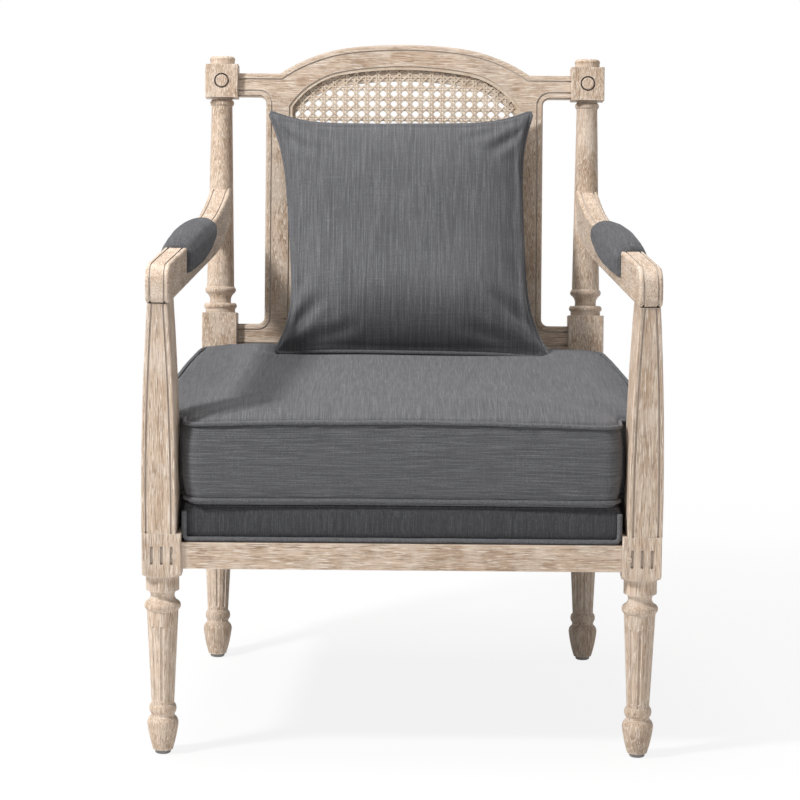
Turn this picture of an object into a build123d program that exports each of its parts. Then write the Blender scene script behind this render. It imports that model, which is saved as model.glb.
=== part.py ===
"""Cane-back armchair: a turned and moulded oak frame, a caned back, a sprung deck and loose cushions.

Millimetres, +Z up, the chair faces -Y. The pieces are laid out from the front leg axes at Y = 0 and the
whole chair is centred over the origin when it is written.
"""
from build123d import *
import os
from math import atan2, cos, degrees, hypot, pi, radians, sin, sqrt, tan

# Plan of the frame: the front legs stand upright, the rear posts lean back
LEG_SPACING = 610.0
POST_SPACING = 522.0
REAR_FOOT_Y = 525.0
RAKE = 9.5

# Joinery
FIT = 0.1
TENON_LENGTH = 18.0
TENON_THICKNESS = 12.0
TENON_UNDER = 5.4
TENON_OVER = 1.8
EAR_SHOULDER = 5.5
DOWEL_RADIUS = 4.0
DOWEL_LENGTH = 40.0
PEG_RADIUS = 3.2
PEG_LENGTH = 20.0
EASE = 1.2

# Turned legs, from the floor up
GLIDE_HEIGHT = 5.0
GLIDE_RADIUS = 10.0
GLIDE_NAIL_RADIUS = 1.5
GLIDE_NAIL_LENGTH = 14.0
FOOT_RADIUS = 12.6
FOOT_RISE = 34.0
BULB_RADIUS = 20.0
BULB_SHOULDER = 10.5
BULB_TURN = 0.93
FOOT_BELLY = 0.55
SHOULDER_BELLY = 0.65
GROOVE_RADIUS = 15.2
COLLAR_GAP = 3.0
COLLAR_RADIUS = 17.6
COLLAR_HEIGHT = 13.0
COLLAR_LIP = 1.0
SHAFT_FOOT_RADIUS = 14.5
SHAFT_TOP_RADIUS = 20.3
TORUS_RADIUS = 23.4
TORUS_HEIGHT = 11.0
NECK_RADIUS = 15.4
NECK_HEIGHT = 15.0
NECK_WAIST = 0.6
DRUM_RADIUS = 21.3
DRUM_HEIGHT = 20.5
DRUM_LIP = 2.0
FLUTE_COUNT = 10
FLUTE_RADIUS = 2.6
FLUTE_DEPTH = 1.9
FLUTE_FOOT_GAP = 7.0
FLUTE_TOP_GAP = 21.0

# Front blocks and the arm supports on them
BLOCK = 50.0
BLOCK_BOTTOM = 235.5
BLOCK_TOP = 292.0
BLOCK_FLUTES = 3
BLOCK_FLUTE_WIDTH = 4.0
BLOCK_FLUTE_HEIGHT = 24.0
BLOCK_FLUTE_DEPTH = 2.2
BLOCK_FLUTE_PITCH = 12.6
POMMEL_REACH = 2.5
POMMEL_HEIGHT = 6.0
SUPPORT_TOP = 587.0
SUPPORT_BELLY = 425.0
SUPPORT_OUT = 2.0
SUPPORT_FOOT_WIDTH = 44.0
SUPPORT_BELLY_WIDTH = 41.5
SUPPORT_TOP_WIDTH = 26.0
SUPPORT_FOOT_DEPTH = 48.0
SUPPORT_TOP_DEPTH = 58.0
MOULD_INSET = 6.0
MOULD_WIDTH = 2.6
MOULD_DEPTH = 1.5

# Arms
ARM_WIDTH = 30.0
ARM_HEIGHT = 49.0
ARM_FRONT = 34.0
ARM_SWEEP = 185.0
ARM_RISE = 27.0
KNUCKLE_TOP_RADIUS = 24.0
KNUCKLE_LOW_RADIUS = 11.0
ARM_EDGE = 3.0

# Arm pads
PAD_START = 142.0
PAD_LENGTH = 295.0
PAD_STATIONS = 6
PAD_EDGE = 2.5
PAD_SWELL = 6.5
PAD_CROWN = 13.0
PAD_DROP = 33.0
PAD_TAIL_LIFT = 15.0
PAD_SHOULDER = 6.6
PAD_SWELL_START = 0.12
PAD_SWELL_END = 0.92
COVER_THICKNESS = 2.0

# Rear posts, measured along their lean
POST_BLOCK_TOP = 491.0
STEP_RADIUS = 21.2
STEP_HEIGHT = 6.5
RING_RADIUS = 22.3
RING_HEIGHT = 7.5
POST_NECK_RADIUS = 15.0
POST_NECK_HEIGHT = 14.0
POST_NECK_RUN = 4.2
POST_TORUS_RADIUS = 22.0
POST_TORUS_HEIGHT = 9.0
COLUMN_FOOT_RADIUS = 19.5
COLUMN_TOP_RADIUS = 14.8
COLUMN_RING_RADIUS = 17.2
COLUMN_RING_HEIGHT = 9.0
COLUMN_NECK = 3.0
UPPER_BLOCK = 47.0
UPPER_BLOCK_BOTTOM = 798.0
CAP_RADIUS = 17.6
CAP_HEIGHT = 12.0
CAP_EDGE_RADIUS = 17.1
CAP_EDGE_HEIGHT = 10.8
CAP_FLAT_RADIUS = 15.4
ROSETTE_RADIUS = 8.6
ROSETTE_HEIGHT = 4.0
ROSETTE_BORE_RADIUS = 10.8
ROSETTE_BORE_DEPTH = 4.5

# Back frame, measured in the plane of the posts
BACK_THICKNESS = 24.0
EAR_TOP = 833.0
EAR_HEIGHT = 33.0
ARCH_TOP = 875.5
ARCH_HALF = 178.0
ARCH_CROWN_RADIUS = 650.0
ARCH_JOIN = 75.0
STILE_OUTER = 197.5
OPENING_HALF = 165.0
OPENING_BOTTOM = 482.0
OPENING_SPRING = 787.0
OPENING_TOP = 845.0
OPENING_CROWN_RADIUS = 500.0
OPENING_JOIN = 90.0
LOW_EAR_TOP = 475.5
LOW_EAR_HEIGHT = 36.0
GAP_CORNER_RADIUS = 10.0
STILE_TENON_LENGTH = 24.0
BACK_MOULD_INSET = 7.0
BACK_EDGE = 2.0
PEG_FROM_JOINT = 17.0

# Cane panel on its ledge, held by a spline
LEDGE_WIDTH = 9.0
LEDGE_ARCH_WIDTH = 20.0
LEDGE_DEPTH = 8.0
CANE_THICKNESS = 1.6
CANE_PITCH = 20.0
CANE_HOLE_RADIUS = 6.0
SPLINE_WIDTH = 5.0
SPLINE_HEIGHT = 4.5

# Seat rails
RAIL_BOTTOM = 246.0
RAIL_SHOW = 34.0
RAIL_HEIGHT = 73.0
RAIL_THICKNESS = 30.0
RAIL_SETBACK = 5.0
CORNER_BLOCK_REACH = 105.0
CORNER_BLOCK_HEIGHT = 34.0
SCREW_RADIUS = 2.2
SCREW_HEAD_RADIUS = 4.2
SCREW_HEAD_HEIGHT = 2.6
SCREW_LENGTH = 34.0
SCREW_PLACE = 0.3

# Deck: springs, sheet, foam, cover and welt
SPRING_COUNT = 5
SPRING_WIRE_RADIUS = 1.8
SPRING_LOOP_RADIUS = 9.0
SPRING_RUN = 28.0
SPRING_DROP = 19.0
CLIP_WIDTH = 16.0
CLIP_DEPTH = 12.0
CLIP_HEIGHT = 10.0
SHEET_THICKNESS = 1.5
DECK_SETBACK = 2.0
DECK_FOAM = 7.0
DECK_CLEARANCE = 1.0
DECK_WELT_RADIUS = 3.4
WELT_TRIM = 0.01
DUST_COVER_THICKNESS = 1.0
DUST_COVER_INSET = 8.0

# Loose seat cushion
CUSHION_CLEARANCE = 0.4
CUSHION_SIDE_CLEARANCE = 1.6
CUSHION_FRONT = 21.0
CUSHION_REAR_CLEARANCE = 3.0
CUSHION_HEIGHT = 105.0
CUSHION_LIP = 6.0
CUSHION_CROWN = 16.0
CUSHION_BULGE = 5.8
CUSHION_DRAW = 4.0
CUSHION_CORNER = 22.0
CUSHION_STEP_CORNER = 8.0
CUSHION_STEP_CLEARANCE = 3.0
CUSHION_OUT = 13.0
CUSHION_BELLY = 8.0
CUSHION_END_OUT = 27.0
CUSHION_ROUND = 12.0
CUSHION_SLOPE = 115.0
CROWN_CURVE = ((0.5, 0.11), (0.85, 0.38), (1.0, 0.9))
WELT_RADIUS = 3.2
WELT_GAP = 0.4

# Throw pillow
PILLOW_WIDTH = 386.0
PILLOW_HEIGHT = 362.0
PILLOW_THICKNESS = 106.0
PILLOW_DRAW = 20.0
PILLOW_CORNER = 9.0
PILLOW_LEAN = 28.0
PILLOW_X = 6.0
PILLOW_BACK_GAP = 31.7509
PILLOW_SEAT = 14.2
PILLOW_SLOPE = 84.0
PILLOW_CURVE = ((0, 0), (0.42, 0.19), (0.8, 0.55), (1, 1))

# Places that follow from the sizes above
LEG_X = LEG_SPACING / 2
POST_X = POST_SPACING / 2
RAIL_TOP = RAIL_BOTTOM + RAIL_HEIGHT
RAIL_STEP = RAIL_BOTTOM + RAIL_SHOW
RAIL_MIDDLE = RAIL_BOTTOM + RAIL_SHOW / 2
ARM_TOP = SUPPORT_TOP + ARM_HEIGHT
DECK_TOP = RAIL_TOP + DECK_FOAM + COVER_THICKNESS
CUSHION_WIDE = LEG_X + CUSHION_OUT
CUSHION_END = POST_X + CUSHION_END_OUT
CUSHION_MIDDLE = (CUSHION_WIDE + CUSHION_END) / 2 + CUSHION_BELLY
FRONT_FACE = BLOCK / 2 - RAIL_SETBACK
LEAN = radians(RAKE)
BACK = Pos(0, REAR_FOOT_Y, 0) * Rot(-RAKE, 0, 0)
FAR = 2000.0
FOOT_SPARE = FOOT_RADIUS / 2
UNDER_FEET = Pos(0, 0, GLIDE_HEIGHT - FAR / 2) * Box(FAR, FAR, FAR)


def post_y(z):
    """Where the axis of a rear post stands at a height."""
    return REAR_FOOT_Y + z * tan(LEAN)


REAR_RAIL_Y = post_y(RAIL_MIDDLE)
SIDE_RUN_X = LEG_X - POST_X
SIDE_ANGLE = degrees(atan2(SIDE_RUN_X, REAR_RAIL_Y))
SUPPORT_X = LEG_X + SUPPORT_OUT
ARM_RUN_Y = post_y(ARM_TOP)
ARM_ANGLE = degrees(atan2(SUPPORT_X - POST_X, ARM_RUN_Y))
ARM_REACH = hypot(SUPPORT_X - POST_X, ARM_RUN_Y)
ARM_PLACE = Pos(-SUPPORT_X, 0, 0) * Rot(0, 0, -ARM_ANGLE)
SUPPORT_INNER = SUPPORT_X - SUPPORT_FOOT_WIDTH / 2 - SUPPORT_FOOT_DEPTH / 2 * sin(radians(ARM_ANGLE))

nodes = {}


def keep(name, *shapes):
    """Store the solids of one node."""
    solids = [solid for shape in shapes for solid in shape.solids()]
    nodes[name] = solids[0] if len(solids) == 1 else Compound(children=solids)


def other_side(shape):
    """The same piece on the right-hand side."""
    return mirror(shape, about=Plane.YZ)


def keep_pair(name, shape):
    """Store a left-hand piece and its mirror image."""
    keep(name + "_left", shape)
    keep(name + "_right", other_side(shape))


def turned(*runs):
    """Solid of revolution about Z; a run is an end point, or a middle and an end point of an arc."""
    edges = []
    here = runs[0]
    for run in runs[1:]:
        start, end = (here[0], 0, here[1]), (run[-2], 0, run[-1])
        if len(run) == 2:
            edges.append(Line(start, end))
        else:
            edges.append(ThreePointArc(start, (run[0], 0, run[1]), end))
        here = run[-2:]
    edges.append(Line((here[0], 0, here[1]), (runs[0][0], 0, runs[0][1])))
    return revolve(make_face(edges), Axis.Z)


def box(low, high):
    """Box between two corners."""
    size = [b - a for a, b in zip(low, high)]
    middle = [(a + b) / 2 for a, b in zip(low, high)]
    return Pos(*middle) * Box(*size)


def grown(low, high, gap):
    """Box between two corners, larger by a gap on every side."""
    return box([a - gap for a in low], [b + gap for b in high])


def eased_block(width, low, high):
    """Square block on the Z axis with eased corners."""
    block = box((-width / 2, -width / 2, low), (width / 2, width / 2, high))
    return chamfer(block.edges().filter_by(Axis.Z), EASE)


def leg_block(high):
    """Square block of a leg; its corners are rounded off where it meets the turning below."""
    half, low = BLOCK / 2, BLOCK_BOTTOM
    corner = half * sqrt(2)
    rounding = turned((0, low), (half + POMMEL_REACH, low), (corner, low + POMMEL_HEIGHT),
                      (corner, high), (0, high))
    return eased_block(BLOCK, low, high) & rounding


def rod(start, end, radius):
    """Round rod from one point to another."""
    line = Line(start, end)
    return sweep(Plane(line @ 0, z_dir=line % 0) * Circle(radius), path=line)


def fluted_leg(top):
    """Foot, collar, fluted shaft, torus and drum of a leg; the foot is left long, to be cut level."""
    foot = GLIDE_HEIGHT - FOOT_SPARE
    bulb = GLIDE_HEIGHT + FOOT_RISE
    groove = bulb + BULB_SHOULDER
    collar = groove + COLLAR_GAP
    shaft = collar + COLLAR_HEIGHT
    drum = top - DRUM_HEIGHT
    neck = drum - NECK_HEIGHT
    torus = neck - TORUS_HEIGHT
    leg = turned(
        (0, foot), (FOOT_RADIUS, foot), (FOOT_RADIUS, GLIDE_HEIGHT),
        ((FOOT_RADIUS + 2 * BULB_RADIUS) / 3, GLIDE_HEIGHT + FOOT_RISE * FOOT_BELLY, BULB_RADIUS, bulb),
        (BULB_RADIUS * BULB_TURN, bulb + BULB_SHOULDER * SHOULDER_BELLY, GROOVE_RADIUS, groove),
        (GROOVE_RADIUS, collar),
        (COLLAR_RADIUS, collar + COLLAR_HEIGHT / 2, SHAFT_FOOT_RADIUS + COLLAR_LIP, shaft),
        (SHAFT_FOOT_RADIUS, shaft), (SHAFT_TOP_RADIUS, torus),
        (TORUS_RADIUS, torus + TORUS_HEIGHT / 2, SHAFT_TOP_RADIUS, neck),
        (NECK_RADIUS, neck + NECK_HEIGHT * NECK_WAIST, DRUM_RADIUS - DRUM_LIP, drum),
        (DRUM_RADIUS, drum), (DRUM_RADIUS, top), (0, top))
    return leg - flutes(shaft, torus)


def flutes(shaft, torus):
    """Round-ended grooves that follow the taper of a shaft."""
    low, high = shaft + FLUTE_FOOT_GAP, torus - FLUTE_TOP_GAP
    slope = (SHAFT_TOP_RADIUS - SHAFT_FOOT_RADIUS) / (torus - shaft)
    length = (high - low) * sqrt(1 + slope ** 2)
    groove = Cylinder(FLUTE_RADIUS, length)
    groove += Pos(0, 0, length / 2) * Sphere(FLUTE_RADIUS)
    groove += Pos(0, 0, -length / 2) * Sphere(FLUTE_RADIUS)
    middle = (low + high) / 2
    surface = SHAFT_FOOT_RADIUS + slope * (middle - shaft)
    place = Pos(surface + FLUTE_RADIUS - FLUTE_DEPTH, 0, middle) * Rot(0, degrees(atan2(slope, 1)), 0)
    turn = 360 / FLUTE_COUNT
    return [Rot(0, 0, (i + 0.5) * turn) * place * groove for i in range(FLUTE_COUNT)]


def block_flutes():
    """Short upright flutes in the front and outer faces of a front block."""
    outline = Rot(0, 0, 90) * SlotOverall(BLOCK_FLUTE_HEIGHT, BLOCK_FLUTE_WIDTH)
    slot = extrude(outline, 2 * BLOCK_FLUTE_DEPTH)
    middle = (BLOCK_TOP + BLOCK_BOTTOM) / 2
    row = []
    for turn in (0, -90):
        for i in range(BLOCK_FLUTES):
            across = (i - (BLOCK_FLUTES - 1) / 2) * BLOCK_FLUTE_PITCH
            depth = -BLOCK / 2 + BLOCK_FLUTE_DEPTH
            row.append(Rot(0, 0, turn) * Pos(across, depth, middle) * Rot(90, 0, 0) * slot)
    return row


# Seat rails: each is a bar with a thinner bar through it, whose ends are the tenons
FRONT_INNER = RAIL_THICKNESS - FRONT_FACE
TENON_LOW = RAIL_BOTTOM + TENON_UNDER
TENON_HIGH = RAIL_STEP - TENON_OVER
REAR_FACE_Y = REAR_RAIL_Y - BLOCK / 2


def front_tenon(gap=0.0):
    """Bar through the front rail that ends in its tenons."""
    reach = LEG_X - BLOCK / 2 + TENON_LENGTH
    middle = (FRONT_INNER - FRONT_FACE) / 2
    low = (-reach, middle - TENON_THICKNESS / 2, TENON_LOW)
    high = (reach, middle + TENON_THICKNESS / 2, TENON_HIGH)
    return grown(low, high, gap)


def rear_tenon(gap=0.0):
    """Bar through the rear rail that ends in its tenons."""
    reach = POST_X - BLOCK / 2 + TENON_LENGTH
    low = (-reach, REAR_RAIL_Y - TENON_THICKNESS / 2, TENON_LOW)
    high = (reach, REAR_RAIL_Y + TENON_THICKNESS / 2, TENON_HIGH)
    return grown(low, high, gap)


SIDE_PLACE = Pos(-LEG_X, 0, 0) * Rot(0, 0, -SIDE_ANGLE)


def side_tenon(gap=0.0):
    """Bar through the left rail that ends in its tenons."""
    low = (-TENON_THICKNESS / 2, BLOCK / 2 - TENON_LENGTH, TENON_LOW)
    high = (TENON_THICKNESS / 2, REAR_FACE_Y + TENON_LENGTH, TENON_HIGH)
    return SIDE_PLACE * grown(low, high, gap)


def deck_plan():
    """Outline of the deck, seen from above: it follows the rails and steps round supports and posts."""
    slope = SIDE_RUN_X / REAR_RAIL_Y
    front, rear = -FRONT_FACE + DECK_SETBACK, REAR_RAIL_Y + RAIL_THICKNESS / 2 - DECK_SETBACK
    edge = LEG_X + FRONT_FACE - DECK_SETBACK
    half = [(edge - slope * front, front), (edge - slope * rear, rear)]
    plan = make_face(Polyline(*half, *[(-x, y) for x, y in reversed(half)], close=True))
    step_x = min(SUPPORT_INNER, LEG_X - BLOCK / 2) - DECK_CLEARANCE
    step_y = max(SUPPORT_TOP_DEPTH, BLOCK) / 2 + 2 * DECK_CLEARANCE
    post_inner = POST_X - BLOCK / 2 - DECK_CLEARANCE
    post_front = post_y(RAIL_STEP) - BLOCK / 2 / cos(LEAN) - DECK_CLEARANCE
    for side in (-1, 1):
        plan -= Pos(side * (step_x + FAR / 2), step_y - FAR / 2) * Rectangle(FAR, FAR)
        plan -= Pos(side * (post_inner + FAR / 2), post_front + FAR / 2) * Rectangle(FAR, FAR)
    return plan


def inset(plan, amount):
    """Outline drawn in on every side."""
    return offset(plan, amount=-amount, kind=Kind.INTERSECTION)


DECK = deck_plan()
DECK_CORE = inset(DECK, COVER_THICKNESS + DECK_FOAM)


def upper_rail_cut():
    """Everything beside the deck's core, above the show wood of the rails."""
    height = RAIL_HEIGHT
    outside = extrude(Pos(0, 0, RAIL_STEP) * Rectangle(FAR, FAR), height)
    return outside - extrude(Pos(0, 0, RAIL_STEP) * DECK_CORE, height)


UPPER_CUT = upper_rail_cut()


# Front legs with their blocks
FRONT_BLOCK = Pos(-LEG_X, 0, (BLOCK_BOTTOM + BLOCK_TOP) / 2) * Box(BLOCK, BLOCK, BLOCK_TOP - BLOCK_BOTTOM)


def nail(gap=0.0):
    """Nail of a glide, standing on its pad."""
    middle = GLIDE_HEIGHT + GLIDE_NAIL_LENGTH / 2
    return Pos(0, 0, middle) * Cylinder(GLIDE_NAIL_RADIUS + gap, GLIDE_NAIL_LENGTH)


def glide():
    """Foot glide: a chamfered pad with its nail."""
    pad = Pos(0, 0, GLIDE_HEIGHT / 2) * Cylinder(GLIDE_RADIUS, GLIDE_HEIGHT)
    pad = chamfer(pad.edges().sort_by(Axis.Z)[0], EASE)
    return pad + nail()


PEG_PLACE = Pos(-LEG_X + BLOCK / 2 - TENON_LENGTH / 2, -BLOCK / 2, RAIL_MIDDLE) * Rot(-90, 0, 0)


def rail_peg(gap=0.0):
    """Peg through the tenon of the front rail, flush with the block's face."""
    return PEG_PLACE * Pos(0, 0, PEG_LENGTH / 2) * Cylinder(PEG_RADIUS + gap, PEG_LENGTH)


def support_dowels(gap=0.0):
    """Two upright dowels between a front block and its arm support."""
    spread = SUPPORT_FOOT_DEPTH / 4
    return [ARM_PLACE * Pos(0, side * spread, BLOCK_TOP) * Cylinder(DOWEL_RADIUS + gap, DOWEL_LENGTH / 2)
            for side in (-1, 1)]


def arm_dowel(gap=0.0):
    """Upright dowel between an arm support and its arm."""
    return ARM_PLACE * Pos(0, 0, SUPPORT_TOP) * Cylinder(DOWEL_RADIUS + gap, DOWEL_LENGTH)


def post_dowel(gap=0.0):
    """Level dowel between an arm and its rear post."""
    z = ARM_TOP + ARM_RISE - ARM_HEIGHT / 2
    reach = post_y(z) / cos(radians(ARM_ANGLE))
    return ARM_PLACE * rod((0, reach - DOWEL_LENGTH, z), (0, reach, z), DOWEL_RADIUS + gap)


def front_leg():
    """Turned leg with the fluted block that takes the seat rails."""
    leg = fluted_leg(BLOCK_BOTTOM) + (leg_block(BLOCK_TOP) - block_flutes())
    leg = leg - UNDER_FEET - nail(FIT)
    leg = Pos(-LEG_X, 0, 0) * leg
    return leg - [front_tenon(FIT), side_tenon(FIT), rail_peg(FIT), *support_dowels(FIT)]


keep_pair("front_leg", front_leg())


# Arm supports
def support_levels():
    """Height, width and depth of the arm support's sections."""
    rise = (SUPPORT_BELLY - BLOCK_TOP) / (SUPPORT_TOP - BLOCK_TOP)
    belly_depth = SUPPORT_FOOT_DEPTH + rise * (SUPPORT_TOP_DEPTH - SUPPORT_FOOT_DEPTH)
    return [(BLOCK_TOP, SUPPORT_FOOT_WIDTH, SUPPORT_FOOT_DEPTH),
            (SUPPORT_BELLY, SUPPORT_BELLY_WIDTH, belly_depth),
            (SUPPORT_TOP, SUPPORT_TOP_WIDTH, SUPPORT_TOP_DEPTH)]


def support_groove(side):
    """Groove down the front face of an arm support, along one edge."""
    sections = []
    for z, width, depth in support_levels():
        x = side * (width / 2 - MOULD_INSET)
        sections.append(Pos(x, -depth / 2, z) * Rectangle(MOULD_WIDTH, 2 * MOULD_DEPTH))
    return loft(sections)


def arm_support():
    """Moulded support that widens downwards."""
    body = loft([Pos(0, 0, z) * Rectangle(width, depth) for z, width, depth in support_levels()])
    upright = [edge for edge in body.edges() if edge.bounding_box().size.Z > (SUPPORT_TOP - BLOCK_TOP) / 2]
    body = chamfer(upright, EASE)
    body = ARM_PLACE * (body - [support_groove(-1), support_groove(1)])
    return body - [arm_dowel(FIT), *support_dowels(FIT)]


keep_pair("arm_support", arm_support())
keep("support_dowels", *support_dowels(), *[other_side(dowel) for dowel in support_dowels()])


# Rear posts
def post_top():
    """Turning, upper block and cap of a rear post, above its seat block."""
    step = POST_BLOCK_TOP + STEP_HEIGHT
    ring = step + RING_HEIGHT
    torus = ring + POST_NECK_HEIGHT
    column = torus + POST_TORUS_HEIGHT
    ring_top = UPPER_BLOCK_BOTTOM - COLUMN_NECK
    ring_low = ring_top - COLUMN_RING_HEIGHT
    turning = turned(
        (0, POST_BLOCK_TOP), (STEP_RADIUS, POST_BLOCK_TOP), (STEP_RADIUS, step),
        (RING_RADIUS, step), (RING_RADIUS + EASE, (step + ring) / 2, RING_RADIUS - EASE, ring),
        (POST_NECK_RADIUS, ring), (POST_NECK_RADIUS, ring + POST_NECK_RUN),
        (POST_NECK_RADIUS + EASE, torus - POST_NECK_RUN, COLUMN_FOOT_RADIUS, torus),
        (POST_TORUS_RADIUS, torus + POST_TORUS_HEIGHT / 2, COLUMN_FOOT_RADIUS, column),
        (COLUMN_TOP_RADIUS, ring_low),
        (COLUMN_RING_RADIUS, (ring_low + ring_top) / 2, COLUMN_TOP_RADIUS, ring_top),
        (COLUMN_TOP_RADIUS, UPPER_BLOCK_BOTTOM), (0, UPPER_BLOCK_BOTTOM))
    upper_top = UPPER_BLOCK_BOTTOM + UPPER_BLOCK
    cap = turned((0, upper_top), (CAP_RADIUS, upper_top), (CAP_RADIUS, upper_top + CAP_HEIGHT / 2),
                 (CAP_EDGE_RADIUS, upper_top + CAP_EDGE_HEIGHT, CAP_FLAT_RADIUS, upper_top + CAP_HEIGHT),
                 (0, upper_top + CAP_HEIGHT))
    return turning + eased_block(UPPER_BLOCK, UPPER_BLOCK_BOTTOM, upper_top) + cap


ROSETTE_PLACE = Pos(-POST_X, -UPPER_BLOCK / 2, UPPER_BLOCK_BOTTOM + UPPER_BLOCK / 2) * Rot(90, 0, 0)


def rosette():
    """Turned disc with an eased rim, in the bore of an upper block."""
    seat = -ROSETTE_BORE_DEPTH
    face = seat + ROSETTE_HEIGHT
    disc = turned((0, seat), (ROSETTE_RADIUS, seat), (ROSETTE_RADIUS, face - EASE),
                  (ROSETTE_RADIUS - EASE, face), (0, face))
    return BACK * ROSETTE_PLACE * disc


def rosette_bore():
    """Bore in the upper block that the rosette sits in."""
    depth = ROSETTE_BORE_DEPTH
    return ROSETTE_PLACE * Pos(0, 0, -depth / 2) * Cylinder(ROSETTE_BORE_RADIUS, depth)


def ear_tenon(low, high, gap=0.0):
    """Bar through the back frame's rail at the height of an ear, which ends in tenons in both posts."""
    reach = POST_X - UPPER_BLOCK / 2 + TENON_LENGTH
    half = TENON_THICKNESS / 2
    return grown((-reach, -half, low + EAR_SHOULDER), (reach, half, high - EAR_SHOULDER), gap)


def rear_post():
    """Raked post turned in one length, from its foot to its cap."""
    post = fluted_leg(BLOCK_BOTTOM) + leg_block(POST_BLOCK_TOP)
    post = Pos(-POST_X, 0, 0) * (post + post_top())
    post -= rosette_bore()
    post -= ear_tenon(EAR_TOP - EAR_HEIGHT, EAR_TOP, FIT)
    post -= ear_tenon(LOW_EAR_TOP - LOW_EAR_HEIGHT, LOW_EAR_TOP, FIT)
    post = BACK * post
    post -= UNDER_FEET
    post -= Pos(-POST_X, post_y(GLIDE_HEIGHT), 0) * nail(FIT)
    return post - [rear_tenon(FIT), side_tenon(FIT), post_dowel(FIT)]


POST = rear_post()
keep_pair("rear_post", POST)
keep_pair("rosette", rosette())
keep("foot_glides", *[Pos(side * x, y, 0) * glide() for x, y in ((LEG_X, 0), (POST_X, post_y(GLIDE_HEIGHT)))
                      for side in (-1, 1)])


# Arms
def arm_profile():
    """Side view of an arm, along its own length: rounded knuckle, level run and upswept end."""
    low, high, end = SUPPORT_TOP, ARM_TOP, ARM_REACH
    bend = end - ARM_SWEEP
    along = (1, 0)
    outline = [Line((-ARM_FRONT, low), (bend, low)),
               TangentArc((bend, low), (end, low + ARM_RISE), tangent=along),
               Line((end, low + ARM_RISE), (end, high + ARM_RISE)),
               TangentArc((bend, high), (end, high + ARM_RISE), tangent=along),
               Line((bend, high), (-ARM_FRONT, high)),
               Line((-ARM_FRONT, high), (-ARM_FRONT, low))]
    face = make_face(outline)
    face = fillet(face.vertices().sort_by(Axis.X)[:2].sort_by(Axis.Y)[-1:], KNUCKLE_TOP_RADIUS)
    return fillet(face.vertices().group_by(Axis.Y)[0].sort_by(Axis.X)[:1], KNUCKLE_LOW_RADIUS)


def arm_body():
    """Arm in its place, before it is fitted to the post."""
    profile = arm_profile()
    bar = extrude(Plane.YZ * profile, ARM_WIDTH / 2, both=True)
    bar = fillet(bar.faces().filter_by(Axis.X).edges(), ARM_EDGE)
    rim = profile - offset(profile, amount=-MOULD_DEPTH, kind=Kind.INTERSECTION)
    groove = extrude(Plane.YZ * rim, MOULD_WIDTH / 2, both=True)
    across = ARM_WIDTH / 2 - MOULD_INSET
    return ARM_PLACE * (bar - [Pos(-across, 0, 0) * groove, Pos(across, 0, 0) * groove])


ARM = arm_body() - POST
ARM = ARM.solids().sort_by(SortBy.VOLUME)[-1] - [arm_dowel(FIT), post_dowel(FIT)]
keep_pair("arm", ARM)
keep("arm_dowels", *[side(dowel) for dowel in (arm_dowel(), post_dowel()) for side in (Part, other_side)])


# Arm pads
def pad_dome(skin):
    """Oval pad over the arm, drawn in by the thickness of a skin."""
    sections = []
    for i in range(PAD_STATIONS):
        along = i / (PAD_STATIONS - 1)
        swell = sin(pi * (PAD_SWELL_START + (PAD_SWELL_END - PAD_SWELL_START) * along))
        half = ARM_WIDTH / 2 + PAD_EDGE + PAD_SWELL * swell - skin
        top = ARM_TOP + PAD_EDGE + PAD_CROWN * swell - skin
        low = ARM_TOP - PAD_DROP + PAD_TAIL_LIFT * along ** 3 + skin
        side = ARM_TOP - PAD_SHOULDER
        outline = Polyline((half, side), (half, low), (-half, low), (-half, side))
        face = make_face([*outline.edges(), ThreePointArc((-half, side), (0, top), (half, side))])
        station = PAD_START + skin + along * (PAD_LENGTH - 2 * skin)
        sections.append(Pos(0, station, 0) * Rot(90, 0, 0) * face)
    return ARM_PLACE * loft(sections)


def arm_bar():
    """Plain bar that holds an arm with a fitting clearance."""
    side = offset(arm_profile(), amount=FIT, kind=Kind.INTERSECTION)
    return ARM_PLACE * extrude(Plane.YZ * side, ARM_WIDTH / 2 + FIT, both=True)


PAD_FOAM_FORM = pad_dome(COVER_THICKNESS)
keep_pair("arm_pad_foam", PAD_FOAM_FORM - arm_bar())
keep_pair("arm_pad_cover", pad_dome(0) - PAD_FOAM_FORM - arm_bar())


# Seat rails
def front_rail():
    """Front rail, cut back above its show wood for the deck."""
    reach = LEG_X - BLOCK / 2
    rail = box((-reach, -FRONT_FACE, RAIL_BOTTOM), (reach, FRONT_INNER, RAIL_TOP))
    rail = rail - UPPER_CUT + front_tenon()
    return rail - [rail_peg(FIT), other_side(rail_peg(FIT))]


def side_rail():
    """Left rail, from the front block to the rear post."""
    outer = FRONT_FACE
    low, high = (-outer, 0, RAIL_BOTTOM), (RAIL_THICKNESS - outer, REAR_RAIL_Y, RAIL_TOP)
    rail = SIDE_PLACE * box(low, high)
    rail -= grown((-FAR, -FAR, 0), (FAR, BLOCK / 2, FAR), 0)
    rail -= BACK * Pos(0, FAR - BLOCK / 2, 0) * Box(2 * FAR, 2 * FAR, 2 * FAR)
    return rail - UPPER_CUT + side_tenon()


def rear_rail():
    """Rear rail between the posts."""
    reach, half = POST_X - BLOCK / 2, RAIL_THICKNESS / 2
    rail = box((-reach, REAR_RAIL_Y - half, RAIL_BOTTOM), (reach, REAR_RAIL_Y + half, RAIL_TOP))
    return rail - UPPER_CUT + rear_tenon()


FRONT_RAIL = front_rail()
SIDE_RAIL = side_rail()
REAR_RAIL = rear_rail()


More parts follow.
